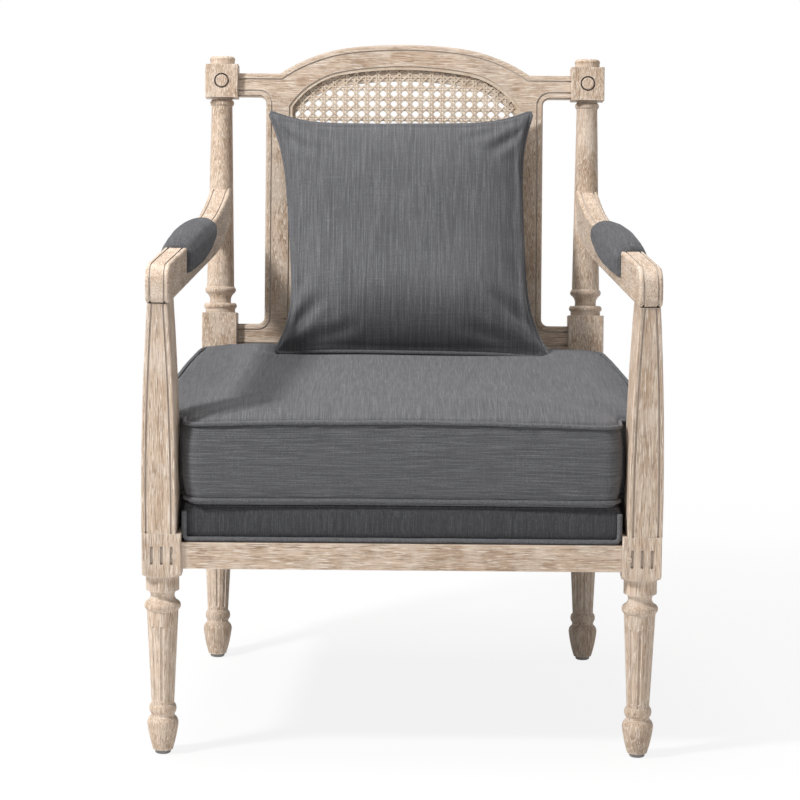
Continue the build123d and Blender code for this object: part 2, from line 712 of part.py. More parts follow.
# Corner blocks, screwed across the inner corners of the rails
def corner_block(x, y, way, walls):
    """Three-cornered block behind a leg; way is -1 where the block runs towards the front."""
    reach = CORNER_BLOCK_REACH
    triangle = make_face(Polyline((x, y), (x + reach, y), (x, y + way * reach), close=True))
    block = extrude(Pos(0, 0, RAIL_BOTTOM) * triangle, CORNER_BLOCK_HEIGHT)
    block -= walls
    return block.solids().sort_by(SortBy.VOLUME)[-1]


def corner_screws(x, y, way, gap=0.0):
    """Two screws from the slant of a corner block, one into each rail."""
    reach = CORNER_BLOCK_REACH
    z = RAIL_BOTTOM + CORNER_BLOCK_HEIGHT / 2
    pair = []
    for share in (SCREW_PLACE, 1 - SCREW_PLACE):
        head = (x + reach * share, y + way * reach * (1 - share), z)
        aim = (0, -way) if share > 0.5 else (-1, 0)
        pair.append(screw(head, aim, gap))
    return pair


def screw(head, aim, gap):
    """Flat-headed screw lying level, from its head along its aim."""
    turn = degrees(atan2(aim[1], aim[0]))
    place = Pos(*head) * Rot(0, 0, turn) * Rot(0, 90, 0)
    shank = Pos(0, 0, SCREW_LENGTH / 2) * Cylinder(SCREW_RADIUS + gap, SCREW_LENGTH + 2 * gap)
    top = Pos(0, 0, SCREW_HEAD_HEIGHT / 2) * Cylinder(SCREW_HEAD_RADIUS + gap, SCREW_HEAD_HEIGHT + 2 * gap)
    return place * (shank + top)


CORNERS = {"front": (-LEG_X, 0, 1, [FRONT_BLOCK, FRONT_RAIL, SIDE_RAIL]),
           "rear": (-POST_X, REAR_RAIL_Y, -1, [POST, REAR_RAIL, SIDE_RAIL])}
left_screws, screw_holes = [], []
for corner, (x, y, way, walls) in CORNERS.items():
    left_screws += corner_screws(x, y, way)
    screw_holes += corner_screws(x, y, way, FIT)
for corner, (x, y, way, walls) in CORNERS.items():
    keep_pair("corner_block_" + corner, corner_block(x, y, way, walls) - screw_holes)
keep("corner_block_screws", *left_screws, *[other_side(one) for one in left_screws])
right_holes = [other_side(hole) for hole in screw_holes]
keep("front_seat_rail", FRONT_RAIL - screw_holes - right_holes)
keep("rear_seat_rail", REAR_RAIL - screw_holes - right_holes)
keep_pair("side_seat_rail", SIDE_RAIL - screw_holes)
keep("seat_rail_pegs", rail_peg(), other_side(rail_peg()))


# Back frame
def arch(half, spring, top, crown_radius, join):
    """Edges of a three-centred arch from (half, spring) over (0, top) to (-half, spring)."""
    drop = crown_radius - sqrt(crown_radius ** 2 - join ** 2)
    normal = (join / crown_radius, sqrt(1 - (join / crown_radius) ** 2))
    run = (half - join, spring - (top - drop))
    haunch = -(run[0] ** 2 + run[1] ** 2) / (2 * (run[0] * normal[0] + run[1] * normal[1]))
    centre = (join - haunch * normal[0], top - drop - haunch * normal[1])
    middle = atan2(normal[1], normal[0]) / 2 + atan2(spring - centre[1], half - centre[0]) / 2
    knee = (centre[0] + haunch * cos(middle), centre[1] + haunch * sin(middle))
    return [ThreePointArc((half, spring), knee, (join, top - drop)),
            ThreePointArc((join, top - drop), (0, top), (-join, top - drop)),
            ThreePointArc((-join, top - drop), (-knee[0], knee[1]), (-half, spring))]


def opening(bottom, half, spring, top):
    """Arched outline with a level foot."""
    edges = arch(half, spring, top, OPENING_CROWN_RADIUS, OPENING_JOIN)
    edges += [Line((-half, spring), (-half, bottom)), Line((-half, bottom), (half, bottom)),
              Line((half, bottom), (half, spring))]
    return make_face(edges)


def strip(half, low, high):
    """Level rectangle from -half to half."""
    return Pos(0, (low + high) / 2) * Rectangle(2 * half, high - low)


CANE_OPENING = opening(OPENING_BOTTOM, OPENING_HALF, OPENING_SPRING, OPENING_TOP)
TOP_JOINT = OPENING_SPRING - LEDGE_WIDTH
LOW_JOINT = OPENING_BOTTOM + LEDGE_WIDTH
CANE_WINDOW = opening(LOW_JOINT, OPENING_HALF - LEDGE_WIDTH, TOP_JOINT, OPENING_TOP - LEDGE_ARCH_WIDTH)
EAR_LOW = EAR_TOP - EAR_HEIGHT
LOW_EAR_LOW = LOW_EAR_TOP - LOW_EAR_HEIGHT


def back_outline():
    """Front view of the back frame without its opening; the ears run on past the posts."""
    crown = make_face([*arch(ARCH_HALF, EAR_TOP, ARCH_TOP, ARCH_CROWN_RADIUS, ARCH_JOIN),
                       Line((-ARCH_HALF, EAR_TOP), (ARCH_HALF, EAR_TOP))])
    outline = crown + strip(STILE_OUTER, LOW_EAR_LOW, EAR_TOP)
    outline += strip(POST_SPACING, EAR_LOW, EAR_TOP)
    outline += strip(POST_SPACING, LOW_EAR_LOW, LOW_EAR_TOP)
    inner = [v for v in outline.vertices() if abs(abs(v.X) - STILE_OUTER) < 0.01
             and (abs(v.Y - EAR_LOW) < 0.01 or abs(v.Y - LOW_EAR_TOP) < 0.01)]
    return fillet(inner, GAP_CORNER_RADIUS)


def upright(sketch, front, depth):
    """Stand a front view up and give it depth, from its front face backwards."""
    return Pos(0, front, 0) * extrude(Rot(90, 0, 0) * sketch, -depth)


BACK_FRONT = -BACK_THICKNESS / 2


def back_frame():
    """Moulded back frame in one piece, before it is parted at its joints."""
    outline = back_outline()
    levels = [(0, BACK_THICKNESS - 2 * BACK_EDGE, BACK_EDGE), (BACK_EDGE, BACK_THICKNESS, 0)]
    frame = Part()
    for drawn_in, depth, back in levels:
        frame += upright(inset(outline, drawn_in) if drawn_in else outline, BACK_FRONT + back, depth)
    ring = inset(outline, BACK_MOULD_INSET) - inset(outline, BACK_MOULD_INSET + MOULD_WIDTH)
    frame -= upright(ring, BACK_FRONT, MOULD_DEPTH)
    frame -= upright(CANE_OPENING, BACK_FRONT, LEDGE_DEPTH)
    return frame - upright(CANE_WINDOW, BACK_FRONT, BACK_THICKNESS)


def stile_tenon(gap=0.0):
    """Bar down the left stile that ends in its tenons."""
    middle = (STILE_OUTER + OPENING_HALF) / 2
    half = (STILE_OUTER - OPENING_HALF) / 4
    seat = LEDGE_DEPTH / 2
    low = (-middle - half, seat - TENON_THICKNESS / 4, LOW_JOINT - STILE_TENON_LENGTH)
    high = (-middle + half, seat + TENON_THICKNESS / 4, TOP_JOINT + STILE_TENON_LENGTH)
    return grown(low, high, gap)


def back_pegs(gap=0.0):
    """Pegs through the tenons of the stiles, flush with the frame's face."""
    x = (STILE_OUTER + OPENING_HALF) / 2
    peg = Rot(-90, 0, 0) * Pos(0, 0, PEG_LENGTH / 2) * Cylinder(PEG_RADIUS + gap, PEG_LENGTH)
    heights = (TOP_JOINT + PEG_FROM_JOINT, LOW_JOINT - PEG_FROM_JOINT)
    return [Pos(side * x, BACK_FRONT, z) * peg for side in (-1, 1) for z in heights]


def band(half, low, high):
    """Slab that covers the frame's thickness between two heights."""
    return box((-half, -BACK_THICKNESS, low), (half, BACK_THICKNESS, high))


FRAME = back_frame()
PEG_HOLES = back_pegs(FIT)
STILE_MORTISES = [stile_tenon(FIT), other_side(stile_tenon(FIT))]
top_rail = FRAME & band(POST_X - UPPER_BLOCK / 2, TOP_JOINT, ARCH_TOP + BACK_THICKNESS)
top_rail += ear_tenon(EAR_LOW, EAR_TOP) - band(POST_X - UPPER_BLOCK / 2 - EASE, EAR_LOW, EAR_TOP)
low_rail = FRAME & band(POST_X - BLOCK / 2, LOW_EAR_LOW - BACK_THICKNESS, LOW_JOINT)
low_rail += ear_tenon(LOW_EAR_LOW, LOW_EAR_TOP) - band(POST_X - BLOCK / 2 - EASE, LOW_EAR_LOW, LOW_EAR_TOP)
stile = FRAME & box((-FAR, -BACK_THICKNESS, LOW_JOINT), (0, BACK_THICKNESS, TOP_JOINT))
keep("back_top_rail", BACK * (top_rail - STILE_MORTISES - PEG_HOLES))
keep("back_bottom_rail", BACK * (low_rail - STILE_MORTISES - PEG_HOLES))
keep_pair("back_stile", BACK * (stile + stile_tenon() - PEG_HOLES))
keep("back_frame_pegs", *[BACK * peg for peg in back_pegs()])


# Cane panel and its spline
def cane_holes():
    """Open mesh of the cane, on a square pitch inside the spline."""
    field = inset(CANE_OPENING, SPLINE_WIDTH + CANE_HOLE_RADIUS + MOULD_WIDTH)
    columns = int(2 * OPENING_HALF / CANE_PITCH)
    rows = int((OPENING_TOP - OPENING_BOTTOM) / CANE_PITCH)
    middle = (OPENING_TOP + OPENING_BOTTOM) / 2
    face = field.faces()[0]
    holes = []
    for i in range(columns):
        for j in range(rows):
            x = (i - (columns - 1) / 2) * CANE_PITCH
            y = middle + (j - (rows - 1) / 2) * CANE_PITCH
            if face.is_inside((x, y, 0)):
                holes.append(Pos(x, y) * Circle(CANE_HOLE_RADIUS))
    return holes


CANE_EDGE = inset(CANE_OPENING, FIT)
CANE_FRONT = BACK_FRONT + LEDGE_DEPTH - CANE_THICKNESS
keep("cane_panel", BACK * upright(CANE_EDGE - cane_holes(), CANE_FRONT, CANE_THICKNESS))
SPLINE_RING = CANE_EDGE - inset(CANE_OPENING, SPLINE_WIDTH)
keep("cane_spline", BACK * upright(SPLINE_RING, CANE_FRONT - SPLINE_HEIGHT, SPLINE_HEIGHT))


# Deck: zigzag springs in clips, a sheet over them, foam, cover, welt and dust cover
SPRING_Z = RAIL_TOP - SPRING_DROP
SPRING_START = FRONT_INNER + CLIP_DEPTH / 2
SPRING_END = REAR_RAIL_Y - RAIL_THICKNESS / 2 - CLIP_DEPTH / 2


def spring():
    """One zigzag spring, with a straight run in each clip."""
    count = int((SPRING_END - SPRING_START) / (2 * SPRING_LOOP_RADIUS) / 2) * 2
    loop = (SPRING_END - SPRING_START) / count / 2
    edges = []
    for i in range(count + 1):
        y, side = SPRING_START + 2 * loop * i, (-1) ** i
        start = 0 if i == 0 else -side * SPRING_RUN / 2
        end = 0 if i == count else side * SPRING_RUN / 2
        edges.append(Line((start, y, SPRING_Z), (end, y, SPRING_Z)))
        if i < count:
            bulge = (side * (SPRING_RUN / 2 + loop), y + loop, SPRING_Z)
            edges.append(ThreePointArc((end, y, SPRING_Z), bulge, (end, y + 2 * loop, SPRING_Z)))
    path = Wire(edges)
    return sweep(Plane(path @ 0, z_dir=path % 0) * Circle(SPRING_WIRE_RADIUS), path=path)


def clip(wall, way):
    """Clip on the inner face of a rail, bored for the spring's end run."""
    far = wall + way * CLIP_DEPTH
    low = (0, min(wall, far), SPRING_Z - CLIP_HEIGHT / 2)
    high = (CLIP_WIDTH / 2, max(wall, far), SPRING_Z + SPRING_WIRE_RADIUS)
    y = wall + way * CLIP_DEPTH / 2
    bore = rod((-FAR, y, SPRING_Z), (FAR, y, SPRING_Z), SPRING_WIRE_RADIUS + FIT)
    return box(low, high) - bore


pitch = (2 * POST_X - BLOCK) / SPRING_COUNT
places = [Pos((i - (SPRING_COUNT - 1) / 2) * pitch, 0, 0) for i in range(SPRING_COUNT)]
one_spring = spring()
front_clip = clip(FRONT_INNER, 1)
rear_clip = other_side(clip(REAR_RAIL_Y - RAIL_THICKNESS / 2, -1))
keep("seat_springs", *[place * one_spring for place in places])
keep("spring_clips", *[place * one for place in places for one in (front_clip, rear_clip)])
SHEET_LOW = SPRING_Z + SPRING_WIRE_RADIUS
WELL = extrude(Pos(0, 0, SHEET_LOW) * DECK_CORE, RAIL_TOP - SHEET_LOW) - [FRONT_RAIL, REAR_RAIL]
for wall in (SIDE_RAIL, POST, FRONT_BLOCK):
    WELL -= [wall, other_side(wall)]
WELL = WELL.solids().sort_by(SortBy.VOLUME)[-1]
sheet_slab = box((-FAR, -FAR, SHEET_LOW), (FAR, FAR, SHEET_LOW + SHEET_THICKNESS))
keep("spring_sheet", WELL & sheet_slab)


def cap(plan, wall, low, high):
    """Upside-down tray: a top and a skirt of one wall."""
    tray = extrude(Pos(0, 0, low) * plan, high - low)
    return tray - extrude(Pos(0, 0, low) * inset(plan, wall), high - low - wall)


SKIRT = RAIL_STEP + 2 * DECK_WELT_RADIUS


def deck_welt():
    """Welt round the foot of the deck's band and up its front corners, and along the other sides."""
    r = DECK_WELT_RADIUS
    front = -FRONT_FACE + DECK_SETBACK + r
    plan = inset(DECK, r)
    corner = plan.vertices().group_by(Axis.Y)[0].sort_by(Axis.X)
    left, right = corner[0].X, corner[-1].X
    low, high = RAIL_STEP + r, DECK_TOP - r
    corners = [(left, front, high), (left, front, low), (right, front, low), (right, front, high)]
    path = FilletPolyline(*corners, radius=2 * r)
    runs = [sweep(Plane(path @ 0, z_dir=path % 0) * Circle(r), path=path)]
    for edge in plan.edges():
        if edge.length > REAR_RAIL_Y / 3 and abs(edge.center().Y - front) > 1:
            start, end = edge @ WELT_TRIM, edge @ (1 - WELT_TRIM)
            runs.append(rod((start.X, start.Y, low), (end.X, end.Y, low), r))
    return runs


WELTS = deck_welt()
FOAM_PLAN = inset(DECK, COVER_THICKNESS)
foam = cap(FOAM_PLAN, DECK_FOAM, SKIRT, DECK_TOP - COVER_THICKNESS)
foam += WELL - sheet_slab
keep("deck_foam", foam - WELTS)
keep("deck_cover", cap(DECK, COVER_THICKNESS, SKIRT, DECK_TOP) - WELTS)
keep("deck_welt", *WELTS)


def dust_cover():
    """Thin cloth under the rails, cut round the legs."""
    sheet = extrude(Pos(0, 0, RAIL_BOTTOM) * inset(DECK, DUST_COVER_INSET), -DUST_COVER_THICKNESS)
    legs = [FRONT_BLOCK, Pos(-POST_X, post_y(RAIL_BOTTOM), RAIL_BOTTOM) * Box(BLOCK + 2, BLOCK + 2, BLOCK)]
    for leg in legs:
        sheet -= [leg, other_side(leg)]
    return sheet


keep("dust_cover", dust_cover())


# Loose cushions: outlines whose sides are drawn in between soft corners
def drawn_rectangle(width, depth, draw, corner):
    """Rectangle with sides that bow inwards and rounded corners."""
    x, y = width / 2, depth / 2
    edges = [ThreePointArc((-x, -y), (0, draw - y), (x, -y)), ThreePointArc((x, -y), (x - draw, 0), (x, y)),
             ThreePointArc((x, y), (0, y - draw), (-x, y)), ThreePointArc((-x, y), (draw - x, 0), (-x, -y))]
    face = make_face(edges)
    return fillet(face.vertices(), corner)


CUSHION_X = SUPPORT_INNER - CUSHION_SIDE_CLEARANCE
CUSHION_LOW = DECK_TOP + CUSHION_CLEARANCE
LOW_SEAM = CUSHION_LOW + CUSHION_LIP
TOP_SEAM = CUSHION_LOW + CUSHION_HEIGHT


def cushion_level(z, drawn_in):
    """Level section of the seat cushion, drawn in: narrow between the supports, wide behind them."""
    front, near = drawn_in - CUSHION_FRONT, CUSHION_X - drawn_in
    step, wide = SUPPORT_TOP_DEPTH / 2 + CUSHION_STEP_CLEARANCE + drawn_in, CUSHION_WIDE - drawn_in
    rear = post_y(z) - BLOCK / 2 / cos(LEAN) - CUSHION_REAR_CLEARANCE - drawn_in
    end, middle = CUSHION_END - drawn_in, (CUSHION_MIDDLE - drawn_in, (step + rear) / 2)
    edges = [ThreePointArc((-near, front), (0, front + CUSHION_DRAW), (near, front)),
             ThreePointArc((-end, rear), (0, rear - CUSHION_DRAW), (end, rear))]
    for side in (-1, 1):
        edges.append(Line((side * near, front), (side * near, step)))
        edges.append(Line((side * near, step), (side * wide, step)))
        edges.append(ThreePointArc((side * wide, step), (side * middle[0], middle[1]), (side * end, rear)))
    face = make_face(edges)
    steps = [corner for corner in face.vertices() if abs(corner.Y - step) < FIT]
    face = fillet(steps, CUSHION_STEP_CORNER)
    ends = face.vertices().group_by(Axis.Y)
    return Pos(0, 0, z) * fillet(ends[0] + ends[-1], CUSHION_CORNER)


def seat_cushion(skin):
    """Boxed cushion with a full border, a crown and a shallow underside, drawn in by a skin."""
    seam = CUSHION_BULGE + skin
    low, high = LOW_SEAM + skin / 2, TOP_SEAM - skin
    under = [(CUSHION_LOW + skin, CUSHION_ROUND + skin), (low, seam)]
    border = [(low, seam), ((low + high) / 2, skin), (high, seam)]
    crown = [(high, seam)]
    crown += [(high + CUSHION_CROWN * rise, run * CUSHION_SLOPE + skin) for rise, run in CROWN_CURVE]
    return [loft([cushion_level(*level) for level in levels]) for levels in (under, border, crown)]


def cushion_welt(z):
    """Welt along the outside of a seam of the seat cushion."""
    path = cushion_level(z, CUSHION_BULGE - WELT_RADIUS - WELT_GAP).faces()[0].outer_wire()
    return sweep(Plane(path @ 0, z_dir=path % 0) * Circle(WELT_RADIUS), path=path)


def joined(parts):
    """Fuse a list of parts into one."""
    whole = parts[0]
    for part in parts[1:]:
        whole += part
    return whole


cushion_foam = joined(seat_cushion(COVER_THICKNESS))
keep("seat_cushion_foam", cushion_foam)
keep("seat_cushion_cover", joined(seat_cushion(0)) - cushion_foam)
keep("seat_cushion_welt_top", cushion_welt(TOP_SEAM))
keep("seat_cushion_welt_bottom", cushion_welt(LOW_SEAM))


# Throw pillow, leaning on the back
def pillow_level(depth, drawn_in):
    """Upright section of the pillow at a depth from its seam, drawn in from the seam's outline."""
    outline = drawn_rectangle(PILLOW_WIDTH - 2 * drawn_in, PILLOW_HEIGHT - 2 * drawn_in,
                              PILLOW_DRAW * (1 - drawn_in / PILLOW_THICKNESS), PILLOW_CORNER + drawn_in / 4)
    return Pos(0, depth, 0) * Rot(90, 0, 0) * outline


def pillow_form(skin):
    """Two pillow halves that meet at the seam, drawn in by a skin."""
    half = PILLOW_THICKNESS / 2 - skin
    halves = []
    for side in (-1, 1):
        levels = [(side * half * rise, run * PILLOW_SLOPE + skin) for rise, run in PILLOW_CURVE]
        halves.append(loft([pillow_level(*level) for level in levels]))
    return joined(halves)


def pillow_welt():
    """Welt round the pillow's seam."""
    path = pillow_level(0, 0).faces()[0].outer_wire()
    return sweep(Plane(path @ 0, z_dir=path % 0) * Circle(WELT_RADIUS), path=path)


PILLOW_RISE = cos(radians(PILLOW_LEAN)) * PILLOW_HEIGHT / 2 + WELT_RADIUS
PILLOW_Z = TOP_SEAM + PILLOW_SEAT + PILLOW_RISE
PILLOW_TOP = PILLOW_Z + PILLOW_RISE - WELT_RADIUS
PILLOW_Y = post_y(PILLOW_TOP) - PILLOW_BACK_GAP - sin(radians(PILLOW_LEAN)) * PILLOW_HEIGHT / 2
PILLOW_PLACE = Pos(PILLOW_X, PILLOW_Y, PILLOW_Z) * Rot(-PILLOW_LEAN, 0, 0)
welt = pillow_welt()
insert = pillow_form(COVER_THICKNESS + WELT_RADIUS)
keep("pillow_insert", PILLOW_PLACE * insert)
keep("pillow_cover", PILLOW_PLACE * (pillow_form(0) - insert - welt))
keep("pillow_welt", PILLOW_PLACE * welt)

# Centre the chair over the origin and write one file for each node
extents = [shape.bounding_box() for shape in nodes.values()]
shift = -(min(e.min.Y for e in extents) + max(e.max.Y for e in extents)) / 2
os.makedirs("parts", exist_ok=True)
for name, shape in nodes.items():
    export_step(Pos(0, shift, 0) * shape, f"parts/{name}.step")
print("shift in Y:", round(shift, 3))
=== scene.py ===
from math import atan2, ceil, cos, exp, pi, radians, sin, sqrt, tan

import bmesh
import bpy
import numpy as np
from mathutils import Matrix, Vector, kdtree, noise


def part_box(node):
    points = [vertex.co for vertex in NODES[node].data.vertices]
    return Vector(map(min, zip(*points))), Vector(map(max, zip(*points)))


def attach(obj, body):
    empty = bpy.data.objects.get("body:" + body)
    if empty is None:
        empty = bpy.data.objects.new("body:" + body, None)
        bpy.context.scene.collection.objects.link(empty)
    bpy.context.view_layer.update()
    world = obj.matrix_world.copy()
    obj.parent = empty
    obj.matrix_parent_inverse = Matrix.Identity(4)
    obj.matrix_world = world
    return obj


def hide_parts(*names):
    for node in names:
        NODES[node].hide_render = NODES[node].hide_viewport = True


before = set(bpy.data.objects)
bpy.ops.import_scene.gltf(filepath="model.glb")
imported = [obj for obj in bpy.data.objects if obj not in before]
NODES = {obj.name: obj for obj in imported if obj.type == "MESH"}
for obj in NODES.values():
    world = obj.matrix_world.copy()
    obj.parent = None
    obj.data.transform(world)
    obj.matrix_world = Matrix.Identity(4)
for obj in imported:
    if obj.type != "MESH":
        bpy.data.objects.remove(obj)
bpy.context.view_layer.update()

scene = bpy.context.scene
scene.view_settings.view_transform = "Standard"

# Sizes shared with the solids, in millimetres, in the layout: before the chair was centred in Y
SHIFT_Y = -326.426
RAKE = radians(9.5)
REAR_FOOT_Y = 525.0
BLOCK = 50.0
DECK_TOP = 328.0
LOW_SEAM = 334.4
TOP_SEAM = 433.4
CUSHION_X = 281.65
CUSHION_FRONT = 21.0
CUSHION_STEP = 32.0
CUSHION_WIDE = 318.0
CUSHION_MIDDLE = 311.0
CUSHION_END = 288.0
CUSHION_DRAW = 4.0
CUSHION_GAP = 3.0
WELT_RADIUS = 2.7
PILLOW_X, PILLOW_Y, PILLOW_Z = 6.0, 537.2, 610.6
PILLOW_LEAN = radians(28.0)

# Fineness of outlines, piping and the cloth simulation
OUTLINE_STEP = 4.0
WELT_SIDES = 10
CLOTH_FRAMES = 20
CLOTH_SETTINGS = {"quality": 5, "mass": 0.3, "tension_stiffness": 12, "compression_stiffness": 12,
                  "shear_stiffness": 5, "bending_stiffness": 0.6, "use_pressure": True}


# Building blocks
def placed(points):
    """Points of the layout, in millimetres, brought into the frame, in metres."""
    points = np.asarray(points, float)
    return (points + (0, SHIFT_Y, 0)) / 1000


def piece(name, points, faces, smooth=True):
    """Mesh object from points in metres."""
    mesh = bpy.data.meshes.new(name)
    mesh.from_pydata([tuple(p) for p in points], [], [tuple(f) for f in faces])
    mesh.update()
    mesh.polygons.foreach_set("use_smooth", [smooth] * len(mesh.polygons))
    obj = bpy.data.objects.new(name, mesh)
    scene.collection.objects.link(obj)
    return obj


def read_vertices(obj, what):
    out = np.empty(len(obj.data.vertices) * 3)
    obj.data.vertices.foreach_get(what, out)
    return out.reshape(-1, 3)


def coords(obj):
    return read_vertices(obj, "co")


def normals(obj):
    return read_vertices(obj, "normal")


def laid(obj):
    """Points of an object in the layout, in millimetres."""
    return coords(obj) * 1000 - (0, SHIFT_Y, 0)


def set_coords(obj, points):
    obj.data.vertices.foreach_set("co", np.ascontiguousarray(points, float).ravel())
    obj.data.update()


def recalc(obj):
    bm = bmesh.new()
    bm.from_mesh(obj.data)
    bmesh.ops.recalc_face_normals(bm, faces=bm.faces)
    bm.to_mesh(obj.data)
    bm.free()


def subdivided(obj):
    mod = obj.modifiers.new("subdivision", "SUBSURF")
    mod.levels = 1
    mod.render_levels = 1


def rounded(corners):
    """Closed outline through corners (x, y, radius, bow), which run counterclockwise.

    The edge after a corner is bowed outwards, or drawn in where the bow is negative.
    """
    corners = [np.array(c, float) for c in corners]
    count = len(corners)
    turns = []
    for i, corner in enumerate(corners):
        before = corner[:2] - corners[i - 1][:2]
        after = corners[(i + 1) % count][:2] - corner[:2]
        before, after = before / np.hypot(*before), after / np.hypot(*after)
        turn = atan2(before[0] * after[1] - before[1] * after[0], before @ after)
        reach = corner[2] * abs(tan(turn / 2))
        turns.append((before, after, turn, reach))
    points = []
    for i, corner in enumerate(corners):
        before, after, turn, reach = turns[i]
        start = corner[:2] - before * reach
        side = 1 if turn > 0 else -1
        centre = start + side * corner[2] * np.array((-before[1], before[0]))
        arm = start - centre
        pieces = max(2, int(abs(turn) * corner[2] / OUTLINE_STEP) + 2)
        for k in range(pieces + 1):
            a = turn * k / pieces
            points.append(centre + (arm[0] * cos(a) - arm[1] * sin(a),
                                    arm[0] * sin(a) + arm[1] * cos(a)))
        end = corner[:2] + after * reach
        following = corners[(i + 1) % count]
        goal = following[:2] - after * turns[(i + 1) % count][3]
        outward = np.array((after[1], -after[0]))
        steps = max(1, int(np.hypot(*(goal - end)) / OUTLINE_STEP))
        for k in range(1, steps):
            s = k / steps
            points.append(end + (goal - end) * s + outward * corner[3] * 4 * s * (1 - s))
    return np.array(points)


def resampled(points, count, closed=True):
    """The same line with evenly spaced points."""
    points = np.asarray(points, float)
    line = np.vstack([points, points[:1]]) if closed else points
    lengths = np.r_[0, np.cumsum(np.linalg.norm(np.diff(line, axis=0), axis=1))]
    at = np.linspace(0, lengths[-1], count, endpoint=not closed)
    return np.stack([np.interp(at, lengths, line[:, i]) for i in range(line.shape[1])], axis=1)


def lofted(name, rings):
    """Skin over rings of equal count, in metres, closed at both ends."""
    count = len(rings[0])
    faces = []
    for r in range(len(rings) - 1):
        a, b = r * count, (r + 1) * count
        for k in range(count):
            n = (k + 1) % count
            faces.append((a + k, a + n, b + n, b + k))
    faces.append(tuple(range(count))[::-1])
    faces.append(tuple(range((len(rings) - 1) * count, len(rings) * count)))
    return piece(name, np.vstack(rings), faces)


def tube_mesh(path, radius, wobble, seed, closed=True):
    """Points and faces of covered piping along a path in millimetres, a little uneven."""
    path = np.asarray(path, float)
    count = len(path)
    if closed:
        along = np.roll(path, -1, axis=0) - np.roll(path, 1, axis=0)
    else:
        along = np.gradient(path, axis=0)
    along /= np.linalg.norm(along, axis=1)[:, None]
    points, faces = [], []
    side = np.cross(along[0], (0, 0, 1))
    if np.linalg.norm(side) < 0.2:
        side = np.cross(along[0], (1, 0, 0))
    for i in range(count):
        side = side - along[i] * (side @ along[i])
        side /= np.linalg.norm(side)
        over = np.cross(side, along[i])
        drift = [noise.noise(Vector(path[i] * 0.02 + seed + j)) for j in (0.0, 7.3)]
        size = radius * (1 + 0.06 * noise.noise(Vector(path[i] * 0.11 + seed)))
        middle = path[i] + wobble * (drift[0] * side + drift[1] * over)
        for k in range(WELT_SIDES):
            a = 2 * pi * k / WELT_SIDES
            points.append(middle + size * (cos(a) * side + sin(a) * over))
    for i in range(count if closed else count - 1):
        a, b = i * WELT_SIDES, (i + 1) % count * WELT_SIDES
        shift = 0
        if closed and i == count - 1:
            ends = np.array(points[b:b + WELT_SIDES])
            shift = int(np.argmin(np.linalg.norm(ends - np.array(points[a]), axis=1)))
        for k in range(WELT_SIDES):
            n = (k + 1) % WELT_SIDES
            faces.append((a + k, b + (k + shift) % WELT_SIDES,
                          b + (n + shift) % WELT_SIDES, a + n))
    if not closed:
        faces.append(tuple(range(WELT_SIDES)))
        faces.append(tuple(range((count - 1) * WELT_SIDES, count * WELT_SIDES))[::-1])
    return points, faces


def joined(name, parts):
    """One mesh object from several (points, faces) in millimetres."""
    points, faces = [], []
    for some, rows in parts:
        base = len(points)
        points += list(some)
        faces += [tuple(base + i for i in row) for row in rows]
    obj = piece(name, placed(points), faces)
    recalc(obj)
    return obj


def fixed(obj):
    """Apply every modifier of an object to its mesh."""
    graph = bpy.context.evaluated_depsgraph_get()
    mesh = bpy.data.meshes.new_from_object(obj.evaluated_get(graph))
    mesh.name = obj.name
    obj.modifiers.clear()
    obj.data = mesh


def remeshed(obj, size):
    mod = obj.modifiers.new("voxels", "REMESH")
    mod.mode = "VOXEL"
    mod.voxel_size = size
    mod.use_smooth_shade = True
    fixed(obj)


def inflated(obj, held, pressure, cap):
    """Cloth under pressure with some points held, written to the mesh.

    No point moves further than the cap, in metres.
    """
    start = coords(obj)
    group = obj.vertex_groups.new(name="held")
    for i in np.nonzero(held)[0]:
        group.add([int(i)], 1.0, "REPLACE")
    mod = obj.modifiers.new("cloth", "CLOTH")
    for name, value in CLOTH_SETTINGS.items():
        setattr(mod.settings, name, value)
    mod.settings.uniform_pressure_force = pressure
    mod.settings.effector_weights.gravity = 0
    mod.settings.vertex_group_mass = "held"
    mod.collision_settings.use_collision = False
    mod.collision_settings.use_self_collision = False
    mod.point_cache.frame_start = 1
    mod.point_cache.frame_end = CLOTH_FRAMES
    for f in range(1, CLOTH_FRAMES + 1):
        scene.frame_set(f)
    fixed(obj)
    scene.frame_set(1)
    move = coords(obj) - start
    far = np.linalg.norm(move, axis=1)
    move *= np.minimum(1, cap / np.maximum(far, 1e-9))[:, None]
    set_coords(obj, start + move)
    obj.vertex_groups.clear()


# Materials
def feed(tree, socket, value):
    """Link a socket to a node's output, or give it a value."""
    if isinstance(value, bpy.types.NodeSocket):
        tree.links.new(value, socket)
    else:
        socket.default_value = value


def node(tree, kind, inputs=None, **props):
    made = tree.nodes.new(kind)
    for name, value in props.items():
        setattr(made, name, value)
    for name, value in (inputs or {}).items():
        feed(tree, made.inputs[name], value)
    return made


def mixed(tree, share, one, other):
    made = node(tree, "ShaderNodeMix", {0: share, 6: one, 7: other}, data_type="RGBA")
    return made.outputs[2]


def ranged(tree, value, low, high, to_low=0.0, to_high=1.0):
    made = node(tree, "ShaderNodeMapRange", {"Value": value, "From Min": low, "From Max": high,
                                             "To Min": to_low, "To Max": to_high})
    return made.outputs["Result"]


def veiled(tree, base, value, low, high, most, over):
    """A colour laid over the base as a value goes from low to high, up to a share."""
    return mixed(tree, ranged(tree, value, low, high, 0.0, most), base, over)


def maths(tree, kind, one, other):
    return node(tree, "ShaderNodeMath", {0: one, 1: other}, operation=kind).outputs[0]


